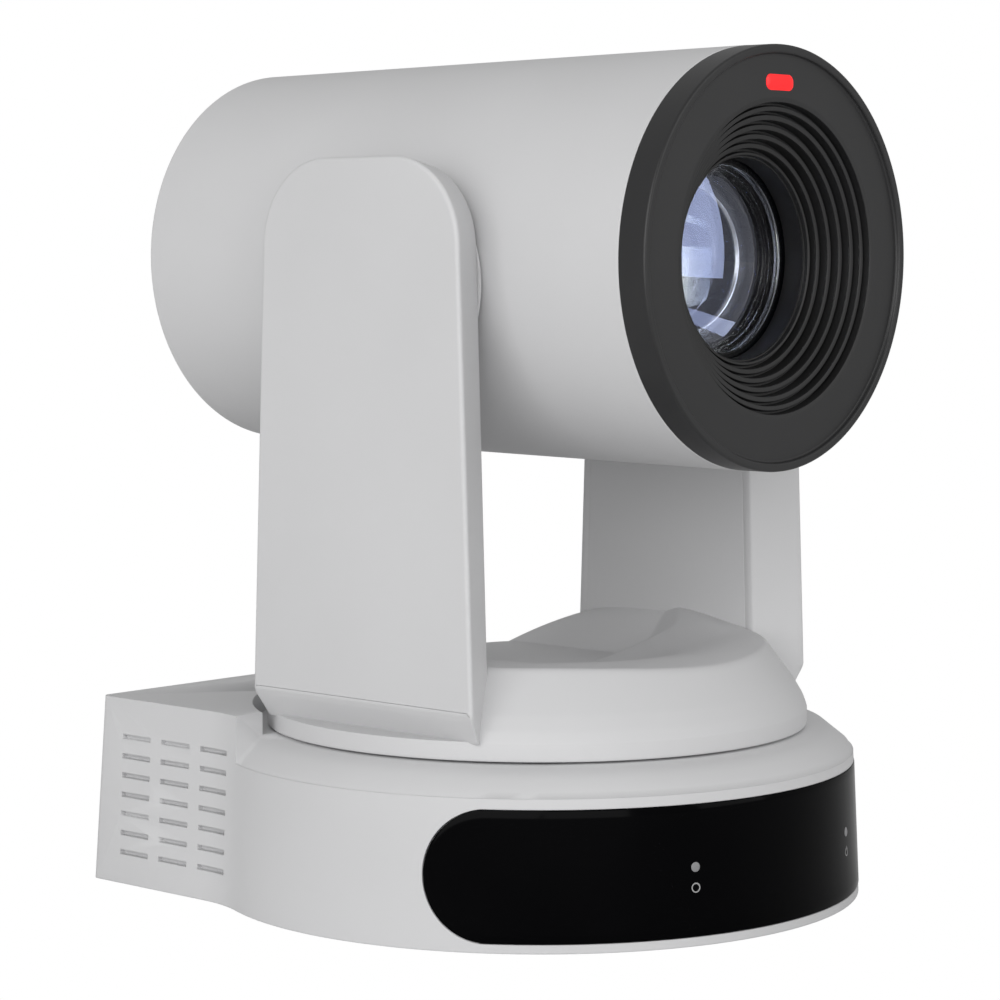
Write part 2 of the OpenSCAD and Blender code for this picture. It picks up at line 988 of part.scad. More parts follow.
module rear_cap() {
    color(light_grey)
    lens_axis()
        difference() {
            translate([0, 0, cap_low])
                cylinder(r = cap_r, h = cap_t, $fn = 180);
            for (a = cap_angles)
                rotate([0, 0, a])
                    translate([cap_screw_r, 0, cap_low - 1]) {
                        cylinder(r = 1.3, h = 6, $fn = 24);
                        cylinder(r = 2.6, h = 1.9, $fn = 32);
                    }
        }
}

module rear_screws() {
    color(steel)
    lens_axis()
        for (a = cap_angles)
            rotate([0, 0, a])
                translate([cap_screw_r, 0, cap_low + 0.05])
                    screw(1.25, 2.4, 0.85, 8);
}

rim_w = 1.9;
face_h = head_front - 0.5;
funnel_r = 30.6;
rib_pitch = (funnel_r - bezel_open_r) / ribs;
rib_step = 1.25;
funnel_end = face_h - ribs * rib_step;
tally_up = 33.3;
tally_w = 8.8;
tally_h = 3.4;
tally_corner = 1.3;

module tally_form(h) {
    hull()
        for (sx = [-1, 1], sy = [-1, 1])
            translate([sx * (tally_w / 2 - tally_corner), tally_up + sy * (tally_h / 2 - tally_corner), 0])
                cylinder(r = tally_corner, h = h, $fn = 24);
}

// Each rib of the funnel is a tread followed by a riser
function funnel_steps() = [
    for (k = [0:ribs - 1], q = [0, 1])
        [funnel_r - rib_pitch * (k + q * 0.65), face_h - rib_step * k - (q > 0 ? 0.15 : 0)]
];

module front_bezel() {
    color(dark_plastic)
    lens_axis()
        difference() {
            rotate_extrude($fn = 180)
                polygon(concat(
                    [
                        [bezel_open_r + 1.6, 48.4], [bezel_open_r + 1.6, 50.6], [32, 58.6], [36.2, 58.6],
                        [36.2, shell_front - 3], [head_front_r - shell_inner - 0.05, shell_front - 3],
                        [head_front_r - shell_inner - 0.05, shell_front],
                        [head_front_r - 0.05, shell_front], [head_front_r - 0.05, head_front - 0.4],
                        [head_front_r - 0.45, head_front], [head_front_r - rim_w, head_front],
                        [head_front_r - rim_w, face_h]
                    ],
                    funnel_steps(),
                    [[bezel_open_r, funnel_end], [bezel_open_r, 48.4]]));
            translate([0, 0, face_h - 1.1])
                tally_form(4);
        }
}

module tally_light() {
    color([1, 0.12, 0.13])
    lens_axis()
        translate([0, 0, face_h - 1.1])
            tally_form(1.3);
}

boss_low = 28.5;
boss_high = 34.5;
tilt_bearing_r = 11;
side_plate_x = 25.6;

module head_frame() {
    color([0.70, 0.71, 0.73])
    translate([0, 0, tilt_z])
        difference() {
            union() {
                translate([-26, -30, -25])
                    cube([52, 93, 2]);
                for (s = [-1, 1]) {
                    translate([s * 27.05 - 1.45, -14, -23.5])
                        cube([2.9, 28, 23.5]);
                    rotate([0, s * 90, 0])
                        translate([0, 0, side_plate_x])
                            cylinder(r = 13.4, h = boss_high - side_plate_x, $fn = 64);
                }
                translate([-22, 34, -23.5])
                    cube([34, 26, 9.2]);
                translate([-12, -24, -23.5])
                    cube([24, 20, 4.4]);
            }
            for (s = [-1, 1])
                rotate([0, s * 90, 0]) {
                    translate([0, 0, boss_low])
                        cylinder(r = tilt_bearing_r, h = 20, $fn = 64);
                    cylinder(r = 8.6, h = 50, $fn = 64);
                }
        }
}

module tilt_bearings() {
    color(steel)
    translate([0, 0, tilt_z])
        for (s = [-1, 1])
            rotate([0, s * 90, 0])
                translate([0, 0, boss_low])
                    difference() {
                        cylinder(r = tilt_bearing_r, h = boss_high - boss_low, $fn = 64);
                        translate([0, 0, -1])
                            cylinder(r = spindle_tilt_r + 0.05, h = 20, $fn = 64);
                    }
}

tilt_motor_y = 47;

module tilt_motor() {
    color(dark_plastic)
    translate([0, tilt_motor_y, tilt_z])
        difference() {
            union() {
                intersection() {
                    translate([-19.6, -14, -14])
                        cube([31, 28, 28]);
                    rotate([45, 0, 0])
                        cube([60, 35, 35], center = true);
                }
                rotate([0, -90, 0])
                    cylinder(r = 7, h = 20.6, $fn = 48);
            }
            rotate([0, -90, 0])
                translate([0, 0, 8])
                    cylinder(r = 2.05, h = 20, $fn = 48);
        }
}

module tilt_motor_pulley() {
    color(steel)
    translate([0, tilt_motor_y, tilt_z])
        rotate([0, -90, 0]) {
            translate([0, 0, wheel_x])
                pulley(tilt_pulley_r, wheel_w, 1.9, tilt_pulley_r + 1);
            translate([0, 0, 9])
                cylinder(r = 2, h = wheel_x + wheel_w - 9, $fn = 48);
        }
}

module tilt_belt() {
    color([0.06, 0.06, 0.06])
    translate([-wheel_x - flange_t - 0.25, 0, tilt_z])
        rotate([0, -90, 0])
            rotate([0, 0, 90])
                belt(tilt_wheel_r, tilt_pulley_r, tilt_motor_y, wheel_w - 2 * flange_t - 0.5);
}

// ---- Lens ----
front_lens_r = 18.2;
front_lens_edge = 47.6;
front_lens_dome = 3.4;
front_lens_back = 39;
barrel_r = 20.6;

module front_lens() {
    ball = (pow(front_lens_r, 2) + pow(front_lens_dome, 2)) / (2 * front_lens_dome);
    color([0.62, 0.70, 0.95])
    lens_axis()
        intersection() {
            translate([0, 0, front_lens_back])
                cylinder(r = front_lens_r, h = 20);
            translate([0, 0, front_lens_edge + front_lens_dome - ball])
                sphere(r = ball, $fn = 128);
        }
}

rod_up = 14.6;
rod_r = 1.2;
rod_low = -21;
rod_high = 34.4;
cell_r = 17;

module lens_barrel() {
    color(dark_plastic)
    lens_axis()
        difference() {
            rotate_extrude()
                polygon([
                    [7, -24], [barrel_r - 1.6, -24], [barrel_r - 1.6, 30], [barrel_r, 32], [barrel_r, 47.8],
                    [front_lens_r + 0.02, 47.8], [front_lens_r + 0.02, front_lens_back],
                    [16.8, front_lens_back], [16.8, rod_high], [13, rod_high], [13, rod_high - 2],
                    [17.4, rod_high - 2], [17.4, -22], [7, -22]
                ]);
            for (s = [-1, 1])
                translate([0, s * rod_up, rod_low])
                    cylinder(r = rod_r, h = rod_high - rod_low + eps, $fn = 24);
        }
}

module guide_rods() {
    color(steel)
    lens_axis()
        for (s = [-1, 1])
            translate([0, s * rod_up, -22])
                cylinder(r = rod_r, h = rod_high + 22, $fn = 24);
}

// A sliding lens cell: a black ring on the two rods round a glass with two domed faces
module lens_cell(low, t, glass_r) {
    difference() {
        translate([0, 0, low])
            cylinder(r = cell_r, h = t);
        for (s = [-1, 1])
            translate([0, s * rod_up, low - 1])
                cylinder(r = rod_r + 0.06, h = t + 2, $fn = 24);
        translate([0, 0, low + t / 2 + 1.2 + glass_r * 2])
            sphere(r = glass_r * 2.1, $fn = 96);
        translate([0, 0, low + t / 2 - 1.2 - glass_r * 2])
            sphere(r = glass_r * 2.1, $fn = 96);
    }
}

module zoom_group() {
    color([0.20, 0.22, 0.30])
    lens_axis()
        lens_cell(23, 8, 11);
}

module focus_group() {
    color([0.20, 0.22, 0.30])
    lens_axis()
        lens_cell(-13, 6, 9);
}

module image_sensor() {
    color([0.20, 0.15, 0.28])
    lens_axis()
        translate([0, 0, -26.2])
            difference() {
                cube([14, 11, 2.6], center = true);
                translate([0, 0, 1.5])
                    cube([10, 7, 1], center = true);
            }
}

module sensor_board() {
    color(board_green)
    lens_axis()
        translate([-18, -16, -29.1])
            cube([36, 32, 1.6]);
}

base_housing();
base_plate();
tripod_insert();
rubber_feet();
base_screws();
front_window();
standby_light();
power_light();
ir_receiver();
indicator_board();
rear_panel();
dc_jack();
hdmi_port();
sdi_port();
lan_port();
usb_port();
serial_ports();
audio_jack();
select_dial();
power_switch();
main_board();
heat_sink();
pan_bearing();
pan_motor_bracket();
pan_motor();
pan_motor_pulley();
pan_belt();
pan_spindle();
pan_wheel();
turntable();
yoke_frame();
yoke_screws();
left_arm();
right_arm();
left_arm_cover();
right_arm_cover();
left_tilt_spindle();
right_tilt_spindle();
tilt_wheel();
head_shell();
rear_cap();
rear_screws();
front_bezel();
tally_light();
head_frame();
tilt_bearings();
tilt_motor();
tilt_motor_pulley();
tilt_belt();
front_lens();
lens_barrel();
guide_rods();
zoom_group();
focus_group();
image_sensor();
sensor_board();
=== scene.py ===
import json
import math
import bpy
import bmesh
import numpy as np
from mathutils import Matrix, Vector

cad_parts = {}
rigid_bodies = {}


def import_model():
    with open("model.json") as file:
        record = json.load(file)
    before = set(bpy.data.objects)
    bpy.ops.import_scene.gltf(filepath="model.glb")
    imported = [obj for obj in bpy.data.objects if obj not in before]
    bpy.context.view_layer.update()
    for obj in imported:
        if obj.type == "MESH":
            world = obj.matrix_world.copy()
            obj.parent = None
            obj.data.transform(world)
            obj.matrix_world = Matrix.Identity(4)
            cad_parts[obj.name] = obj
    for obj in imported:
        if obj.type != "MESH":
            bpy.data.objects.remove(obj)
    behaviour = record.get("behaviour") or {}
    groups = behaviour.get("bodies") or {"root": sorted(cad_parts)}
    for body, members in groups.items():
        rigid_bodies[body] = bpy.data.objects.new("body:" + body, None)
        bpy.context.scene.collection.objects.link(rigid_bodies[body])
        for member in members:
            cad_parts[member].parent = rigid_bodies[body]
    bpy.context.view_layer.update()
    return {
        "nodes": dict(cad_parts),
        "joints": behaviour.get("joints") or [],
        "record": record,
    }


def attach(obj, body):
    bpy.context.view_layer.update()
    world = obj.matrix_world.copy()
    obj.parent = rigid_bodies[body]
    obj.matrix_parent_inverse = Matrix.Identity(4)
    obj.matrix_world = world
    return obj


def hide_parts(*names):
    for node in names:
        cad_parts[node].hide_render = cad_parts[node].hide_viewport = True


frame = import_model()
nodes = frame["nodes"]
print("frame loaded,", len(nodes), "nodes")

# where the head turns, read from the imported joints, in mm
joints = {j["name"]: j for j in frame["joints"]}
tiltZ = joints["tilt"]["pos_m"][2] * 1000.0

view = {
    "place": (-0.475462, -0.422945, 0.131796),  # metres
    "turn": -47.661,                            # degrees round the vertical
    "pitch": 4.664,                             # degrees looking down
    "lens": 112.1,                              # mm on a 36 mm sensor
}


# Makes an object of some data and puts it in the scene.
def addObject(name, data):
    ob = bpy.data.objects.new(name, data)
    bpy.context.scene.collection.objects.link(ob)
    return ob


# Turns a camera or lamp so that its back, +Z, points along a direction.
def faceBack(ob, direction):
    ob.rotation_mode = "QUATERNION"
    ob.rotation_quaternion = direction.to_track_quat("Z", "Y")


def makeCamera():
    cam = bpy.data.cameras.new("productCamera")
    cam.lens = view["lens"]
    cam.sensor_width = 36.0
    cam.clip_start = 0.05
    cam.clip_end = 20.0
    ob = addObject("productCamera", cam)
    a = math.radians(view["turn"])
    e = math.radians(view["pitch"])
    faceBack(ob, Vector((math.sin(a) * math.cos(e), -math.cos(a) * math.cos(e), math.sin(e))))
    ob.location = view["place"]
    bpy.context.scene.camera = ob


makeCamera()


# sRGB hex to linear light: c/12.92 below the knee, ((c+0.055)/1.055)^2.4 above it.
def linear(hexText, alpha=1.0):
    c = np.array([int(hexText[i:i + 2], 16) for i in (1, 3, 5)]) / 255.0
    c = np.where(c <= 0.04045, c / 12.92, ((c + 0.055) / 1.055) ** 2.4)
    return (float(c[0]), float(c[1]), float(c[2]), alpha)


# Adds one node, sets its sockets and settings, and links what feeds it.
def add(mat, kind, inputs=None, props=None, links=None):
    tree = mat.node_tree
    n = tree.nodes.new(kind)
    for key, value in (props or {}).items():
        setattr(n, key, value)
    for key, value in (inputs or {}).items():
        n.inputs[key].default_value = value
    for key, source in (links or {}).items():
        tree.links.new(source, n.inputs[key])
    return n


# Feeds one socket of a node.
def wire(node, socket, source):
    node.id_data.links.new(source, node.inputs[socket])


# A material with one Principled shader whose even values are set on its own sockets.
def newMaterial(name, **sockets):
    mat = bpy.data.materials.new(name)
    mat.use_nodes = True
    shader = mat.node_tree.nodes["Principled BSDF"]
    for key, value in sockets.items():
        shader.inputs[key.replace("_", " ")].default_value = value
    return mat, shader


# A colour ramp with the given (place, colour) stops, fed by source.
def ramp(mat, source, stops):
    n = add(mat, "ShaderNodeValToRGB", links={"Fac": source})
    line = n.color_ramp
    while len(line.elements) < len(stops):
        line.elements.new(0.5)
    for element, (place, colour) in zip(line.elements, stops):
        element.position = place
        element.color = linear(colour)
    return n


# Fine moulded grain as a bump; edgeMm also softens the part's arrises.
def grainBump(mat, shader, grainMm, strength, depthMm=0.02, edgeMm=0.0):
    place = add(mat, "ShaderNodeTexCoord").outputs["Object"]
    noise = {"Scale": 1000.0 / grainMm, "Detail": 3.0, "Roughness": 0.6}
    grain = add(mat, "ShaderNodeTexNoise", noise, links={"Vector": place}).outputs["Fac"]
    relief = {"Strength": strength, "Distance": depthMm / 1000.0}
    bump = add(mat, "ShaderNodeBump", relief, links={"Height": grain})
    if edgeMm:
        soft = add(mat, "ShaderNodeBevel", {"Radius": edgeMm / 1000.0}, {"samples": 6})
        wire(bump, "Normal", soft.outputs["Normal"])
    wire(shader, "Normal", bump.outputs["Normal"])
    return place, grain


# A base colour that wanders between low and high over patches of scaleMm.
def speckle(mat, shader, place, scaleMm, low, high, detail=2.0):
    noise = {"Scale": 1000.0 / scaleMm, "Detail": detail}
    cloud = add(mat, "ShaderNodeTexNoise", noise, links={"Vector": place})
    tone = ramp(mat, cloud.outputs["Fac"], [(0.35, low), (0.65, high)])
    wire(shader, "Base Color", tone.outputs["Color"])


# A roughness that follows the grain from low to high.
def grainRoughness(mat, shader, grain, low, high):
    span = add(mat, "ShaderNodeMapRange", {"To Min": low, "To Max": high}, links={"Value": grain})
    wire(shader, "Roughness", span.outputs["Result"])


# ABS moulded in a spark-eroded tool: an even light grey with a fine dry grain and soft broad highlights
def texturedAbs():
    mat, shader = newMaterial("absSparkTextured", IOR=1.53, Roughness=0.5)
    place, grain = grainBump(mat, shader, 0.55, 0.25, 0.03, 0.35)
    speckle(mat, shader, place, 55.0, "#CDCDCE", "#D1D1D2")
    grainRoughness(mat, shader, grain, 0.46, 0.56)
    return mat


# an opaque satin face, moulded, painted or anodised: one tone with a fine grain and a bloom at a low angle
def satinFace(name, tone, deep, rough):
    mat, shader = newMaterial(name, IOR=1.52, Roughness=rough)
    place, grain = grainBump(mat, shader, 0.4, 0.2, 0.02, 0.15)
    speckle(mat, shader, place, 22.0, deep, tone)
    grainRoughness(mat, shader, grain, rough - 0.04, rough + 0.06)
    return mat


# dyed acrylic, injection moulded and polished: a deep black with a sharp clear reflection
def glossAcrylic():
    mat, shader = newMaterial("acrylicPolishedBlack", IOR=1.49, Roughness=0.1, Specular_IOR_Level=0.04)
    place, _ = grainBump(mat, shader, 14.0, 0.04)
    speckle(mat, shader, place, 30.0, "#030304", "#050506")
    return mat


# diffusing red acrylic with a lamp behind: an even signal red that glows a little
def tallyAcrylic():
    mat, shader = newMaterial("acrylicDiffusingRed", IOR=1.49, Roughness=0.3, Emission_Strength=0.5)
    place, _ = grainBump(mat, shader, 0.5, 0.1)
    speckle(mat, shader, place, 3.0, "#E81418", "#F01A1E")
    shader.inputs["Emission Color"].default_value = linear("#FF1E22")
    return mat


# turned, ground or plated metal: a bright grey with a very fine tooled grain
def turnedMetal(name, tone, dark, rough):
    mat, shader = newMaterial(name, Metallic=1.0, Roughness=rough)
    place, grain = grainBump(mat, shader, 0.25, 0.12, 0.01)
    speckle(mat, shader, place, 4.0, dark, tone, 4.0)
    grainRoughness(mat, shader, grain, rough - 0.05, rough + 0.1)
    return mat


# cast aluminium, shot blasted: pale grey with a grainy sparkle
def castAluminium():
    mat, shader = newMaterial("aluminiumBlasted", Metallic=1.0, Roughness=0.45)
    place, _ = grainBump(mat, shader, 0.35, 0.35, 0.03)
    speckle(mat, shader, place, 1.2, "#BFC1C3", "#D2D3D4", 4.0)
    return mat


# moulded nitrile rubber: dull black with a powdery bloom
def mouldedRubber():
    mat, shader = newMaterial("rubberMoulded", IOR=1.52, Roughness=0.75)
    place, _ = grainBump(mat, shader, 0.3, 0.3, 0.03)
    speckle(mat, shader, place, 2.0, "#121212", "#1C1C1C", 4.0)
    return mat


# glass-epoxy laminate under green solder mask: satin green with the weave just showing
def solderMask():
    mat, shader = newMaterial("epoxySolderMask", IOR=1.55, Roughness=0.3)
    place = add(mat, "ShaderNodeTexCoord").outputs["Object"]
    wave = {"Scale": 300.0, "Distortion": 0.5}
    weave = add(mat, "ShaderNodeTexWave", wave, links={"Vector": place}).outputs["Fac"]
    shade = ramp(mat, weave, [(0.0, "#0B3A1E"), (1.0, "#0F4826")])
    relief = {"Strength": 0.1, "Distance": 0.00002}
    bump = add(mat, "ShaderNodeBump", relief, links={"Height": weave})
    wire(shader, "Base Color", shade.outputs["Color"])
    wire(shader, "Normal", bump.outputs["Normal"])
    return mat


# optical glass with an anti-reflection coat: clear, with the coat's colour in the reflections
def coatedGlass(name, tint, film):
    mat, shader = newMaterial(name, IOR=1.52, Roughness=0.0, Transmission_Weight=1.0)
    shader.inputs["Base Color"].default_value = linear(tint)
    shader.inputs["Specular Tint"].default_value = linear(film)
    return mat


# screen-printed white ink: a flat dry white with a slightly uneven tone
def printedInk():
    mat, shader = newMaterial("inkScreenPrintedWhite", IOR=1.5, Roughness=0.6)
    place, _ = grainBump(mat, shader, 0.2, 0.1)
    speckle(mat, shader, place, 1.0, "#9A9A9A", "#A8A8A8")
    return mat


greyPlastic = texturedAbs()
blackPlastic = satinFace("nylonMouldedBlack", "#1B1B1C", "#161617", 0.42)        # glass-filled nylon
bezelPlastic = satinFace("absMouldedBlack", "#1F1F20", "#1C1C1D", 0.4)           # the head's front ring
funnelPlastic = satinFace("absMattBlackFunnel", "#1D1D1E", "#191919", 0.42)      # its ribs, a little duller
cellBlack = satinFace("aluminiumAnodisedBlack", "#08090D", "#06070A", 0.25)      # lens barrel and cells
glossBlack = glossAcrylic()
tallyRed = tallyAcrylic()
bearingSteel = turnedMetal("steelGround", "#B9BABC", "#9D9FA2", 0.28)            # bearings and spindles
screwSteel = turnedMetal("steelZincPlated", "#A9ABAE", "#8F9194", 0.35)          # screws and brackets
nickel = turnedMetal("brassNickelPlated", "#C9C6BE", "#B4B1A9", 0.2)             # connector shells
ringAlloy = turnedMetal("aluminiumTurnedBright", "#B9BECC", "#A3A8B6", 0.22)     # lens retaining rings
blastedAluminium = castAluminium()
rubber = mouldedRubber()
board = solderMask()
dialPlastic = satinFace("absMouldedPale", "#BFBFC0", "#B9B9BA", 0.45)            # the mode dial
irPlastic = satinFace("polycarbonateDarkRed", "#2A0C12", "#200A0F", 0.1)         # infra-red filter
motorPaint = satinFace("steelPowderCoatedBlack", "#19191B", "#131314", 0.4)      # motor bodies
ledPlastic = satinFace("epoxyFrostedGrey", "#8C8C8E", "#808082", 0.4)            # unlit indicator lamps
frontGlass = coatedGlass("glassCoatedFront", "#FFFFFF", "#C4D0FF")
rearGlass = coatedGlass("glassCoatedRear", "#F2F5E8", "#B9C4FF")
amberGlass = coatedGlass("glassCoatedAmber", "#E9E6C2", "#C8C67A")
markInk = printedInk()
print("materials made")

slotMaterial = {
    "grey_plastic": greyPlastic, "black_plastic": blackPlastic, "gloss_black": glossBlack,
    "light_pipe": ledPlastic, "ir_filter": irPlastic, "tally_red": tallyRed, "dial_plastic": dialPlastic,
    "cell_black": cellBlack, "foot_rubber": rubber, "belt_rubber": rubber, "board": board,
    "plated_steel": screwSteel, "screw_steel": screwSteel, "bearing_steel": bearingSteel, "nickel": nickel,
    "cast_aluminium": blastedAluminium, "motor_black": motorPaint, "lens_glass": frontGlass,
    "sensor_glass": glossBlack,
}
for part in frame["record"]["subparts"]:
    mesh = nodes[part["node"]].data
    mesh.materials.clear()
    mesh.materials.append(slotMaterial[part["material_slot"]])


# Turns every face outward, after points within join metres of each other become one.
def faceOut(mesh, join=0.0):
    work = bmesh.new()
    work.from_mesh(mesh)
    if join:
        bmesh.ops.remove_doubles(work, verts=work.verts, dist=join)
    bmesh.ops.recalc_face_normals(work, faces=work.faces)
    work.to_mesh(mesh)
    work.free()


# Puts points in mm and faces into a smooth mesh at the origin and lets it ride on a body.
def makePiece(name, verts, faces, material, body, replaced=()):
    mesh = bpy.data.meshes.new(name)
    mesh.from_pydata((np.asarray(verts) * 0.001).tolist(), [], faces)
    mesh.validate()
    mesh.materials.append(material)
    ob = addObject(name, mesh)
    faceOut(mesh)
    mesh.shade_smooth()
    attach(ob, body)
    if replaced:
        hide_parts(*replaced)
    return ob


# Rounds each corner of a path: every corner becomes the curve (1-t)^2 A + 2t(1-t) C + t^2 B
# between points set back along its two sides, with a holding point just outside each end.
def softenPath(points, radius, steps=5, hold=0.12, closed=False):
    p = np.asarray(points, float)
    if closed:
        before, after, corner = np.roll(p, 1, 0), np.roll(p, -1, 0), p
    else:
        before, after, corner = p[:-2], p[2:], p[1:-1]
    r = np.broadcast_to(np.asarray(radius, float), (len(corner),))[:, None]
    back, on = before - corner, after - corner
    backLong = np.linalg.norm(back, axis=1, keepdims=True)
    onLong = np.linalg.norm(on, axis=1, keepdims=True)
    back, on = back / backLong, on / onLong
    reach = np.minimum(r, 0.44 * np.minimum(backLong, onLong))  # two corners never meet on a side
    t = np.linspace(0, 1, steps + 1)[None, :, None]
    a, b, c = (corner + back * reach)[:, None], (corner + on * reach)[:, None], corner[:, None]
    curve = (1 - t) ** 2 * a + 2 * t * (1 - t) * c + t ** 2 * b
    holdReach = reach + np.minimum(hold, 0.3 * reach + 0.02)
    holdIn = (corner + back * holdReach)[:, None]
    holdOut = (corner + on * holdReach)[:, None]
    out = np.concatenate([holdIn, curve, holdOut], 1).reshape(-1, p.shape[1])
    return out if closed else np.concatenate([p[:1], out, p[-1:]])


# Quads of a grid of points numbered row by row.
def gridFaces(rows, cols, wrapRows=False, wrapCols=True):
    i = np.arange(rows if wrapRows else rows - 1)[:, None]
    j = np.arange(cols if wrapCols else cols - 1)[None, :]
    a = i * cols + j
    b = i * cols + (j + 1) % cols
    c = ((i + 1) % rows) * cols + (j + 1) % cols
    d = ((i + 1) % rows) * cols + j
    return np.stack([a, b, c, d], -1).reshape(-1, 4).tolist()


# A stack of equal rings with both ends closed by one face.
def cappedFaces(rows, cols):
    faces = gridFaces(rows, cols)
    faces.append(list(range(cols))[::-1])
    faces.append(list(range(cols * (rows - 1), cols * rows)))
    return faces


# Triangles from one middle point to a ring of points that starts at a number.
def fanFaces(middle, start, count):
    j = np.arange(count)
    return np.stack([np.full(count, middle), start + j, start + (j + 1) % count], -1).tolist()


# Turns a profile of (radius, distance forward) round the lens axis:
# x = r cos(u), y = -forward, z = tiltZ + r sin(u).
def latheAbout(profile, turns=192, closed=True):
    prof = np.asarray(profile, float)
    u = np.linspace(0, 2 * np.pi, turns, endpoint=False)
    r, f = prof[:, 0][:, None], prof[:, 1][:, None]
    y = np.broadcast_to(-f, (len(prof), turns))
    pts = np.stack([r * np.cos(u), y, tiltZ + r * np.sin(u)], -1)
    return pts.reshape(-1, 3), gridFaces(len(prof), turns, wrapRows=closed)


# As latheAbout, for a profile whose two ends lie on the axis: each end is closed with a fan.
def latheDome(profile, turns=128):
    prof = np.asarray(profile, float)
    pts, faces = latheAbout(prof[1:-1], turns, closed=False)
    n = len(pts)
    pts = np.concatenate([pts, [[0, -prof[0, 1], tiltZ], [0, -prof[-1, 1], tiltZ]]])
    faces += fanFaces(n, 0, turns)
    faces += fanFaces(n + 1, n - turns, turns)
    return pts, faces


# mm; front and rear are distances from the tilt axis along the lens axis
head = {
    "frontR": 40.67, "front": 55.8,
    "rearR": 39.3, "rear": 74.1,
    "wall": 2.4, "sideHole": 9.2,
    "frontEdge": 0.25, "rearEdge": [0.5, 0.35],
}


# Bores both sides of the shell for the tilt spindles and keeps the result as its mesh.
def boreSides(shell):
    drill = bpy.data.meshes.new("sideDrill")
    work = bmesh.new()
    turn = Matrix.Translation((0, 0, tiltZ / 1000)) @ Matrix.Rotation(math.pi / 2, 4, "Y")
    r = head["sideHole"] / 1000
    bmesh.ops.create_cone(work, cap_ends=True, segments=64, radius1=r, radius2=r, depth=0.12, matrix=turn)
    work.to_mesh(drill)
    work.free()
    tool = addObject("sideDrill", drill)
    cut = shell.modifiers.new("spindleHoles", "BOOLEAN")
    cut.object = tool
    cut.solver = "EXACT"
    bpy.context.view_layer.update()
    done = bpy.data.meshes.new_from_object(shell.evaluated_get(bpy.context.evaluated_depsgraph_get()))
    shell.modifiers.clear()
    shell.data = done
    done.shade_smooth()
    done.set_sharp_from_angle(angle=math.radians(35))
    bpy.data.objects.remove(tool)


def headShell():
    h = head
    rings = np.linspace(h["front"] - 1.0, -h["rear"] + 2.0, 46)
    slope = (h["frontR"] - h["rearR"]) / (h["front"] + h["rear"])
    outer = np.stack([h["rearR"] + slope * (rings + h["rear"]), rings], 1)
    inner = outer[::-1] - [h["wall"], 0]

    # the end of the wall with its two corners rounded
    def wallEnd(start, radius, at, finish, rounding):
        corners = [start, (radius, at), (radius - h["wall"], at), finish]
        return softenPath(corners, rounding)[1:-1]

    nudge = np.array([0, 0.5])
    frontEnd = wallEnd(outer[0] - nudge, h["frontR"], h["front"], inner[-1] - nudge, h["frontEdge"])
    rearEnd = wallEnd(outer[-1] + nudge, h["rearR"], -h["rear"], inner[0] + nudge, h["rearEdge"])
    pts, faces = latheAbout(np.concatenate([outer, rearEnd, inner, frontEnd[::-1]]), 240)
    shell = makePiece("headShell", pts, faces, greyPlastic, "head", ["head_shell"])
    boreSides(shell)


headShell()

bezel = {
    "rimR": 40.62, "front": 62.15, "rimWidth": 1.6, "rimRise": 0.85, "rimRounding": [0.5, 0.3, 0.3],
    "spigotR": 38.2, "spigotIn": 37.0, "spigot": 2.9, "back": 55.8,
    "grooveR": [30.6, 28.95, 27.35, 25.55, 23.8, 22.1, 20.4],
    "grooveAt": [61.6, 60.4, 59.2, 57.8, 56.4, 54.9, 53.8],
    "crest": 0.55, "groove": 0.9,              # share of a rib that is flat, and the groove's depth
    "openR": 19.4, "openAt": 52.75, "tubeEnd": 48.2, "tubeWall": 1.4,
    "backLine": [(21.0, 50.8), (30.0, 57.6), (37.0, 58.4)],
    "mattR": 30.7, "mattAt": 61.7,             # the funnel's duller black starts inside these
}


def frontBezel():
    b = bezel
    face = b["front"] - b["rimRise"]
    rimIn = b["rimR"] - b["rimWidth"]
    r, at = np.array(b["grooveR"]), np.array(b["grooveAt"])
    nextR = np.append(r[1:], b["openR"])
    # each rib: a flat crest, a drop into the groove, the groove's floor, then the rise to the next crest
    wide = (r - nextR) * b["crest"]
    treadR = np.stack([r, r - wide, r - wide - 0.1, nextR + 0.1], 1)
    nextAt = np.append(at[1:], b["openAt"])
    deep = np.append(nextAt[:-1] - b["groove"], nextAt[-1])
    treadAt = np.stack([at, at - 0.1, deep, deep], 1)
    ribs = np.stack([treadR, treadAt], -1).reshape(-1, 2)
    frontLine = np.concatenate([
        [(b["spigotIn"], b["back"] - b["spigot"]), (b["spigotR"], b["back"] - b["spigot"]),
         (b["spigotR"], b["back"]), (b["rimR"], b["back"]), (b["rimR"], b["front"]),
         (rimIn, b["front"]), (rimIn - 0.25, face)],
        ribs,
        [(b["openR"], b["openAt"]), (b["openR"] + 0.05, b["tubeEnd"]),
         (b["openR"] + b["tubeWall"], b["tubeEnd"])],
    ])
    radii = np.full(len(frontLine), 0.16)
    radii[4:7] = b["rimRounding"]              # the rim's outer and inner corners and its foot
    line = np.concatenate([frontLine, b["backLine"]])
    rounding = np.append(radii, np.full(len(b["backLine"]), 0.3))
    profile = softenPath(line, rounding, steps=4, hold=0.05, closed=True)
    pts, faces = latheAbout(profile, 256)
    ob = makePiece("frontBezel", pts, faces, bezelPlastic, "head", ["front_bezel"])
    mesh = ob.data
    mesh.materials.append(funnelPlastic)
    centre = np.zeros(len(mesh.polygons) * 3)
    mesh.polygons.foreach_get("center", centre)
    centre = centre.reshape(-1, 3) * 1000.0
    reach = np.hypot(centre[:, 0], centre[:, 2] - tiltZ)
    inside = (reach < b["mattR"]) & (-centre[:, 1] < b["mattAt"])
    mesh.polygons.foreach_set("material_index", inside.astype(np.int32))


frontBezel()

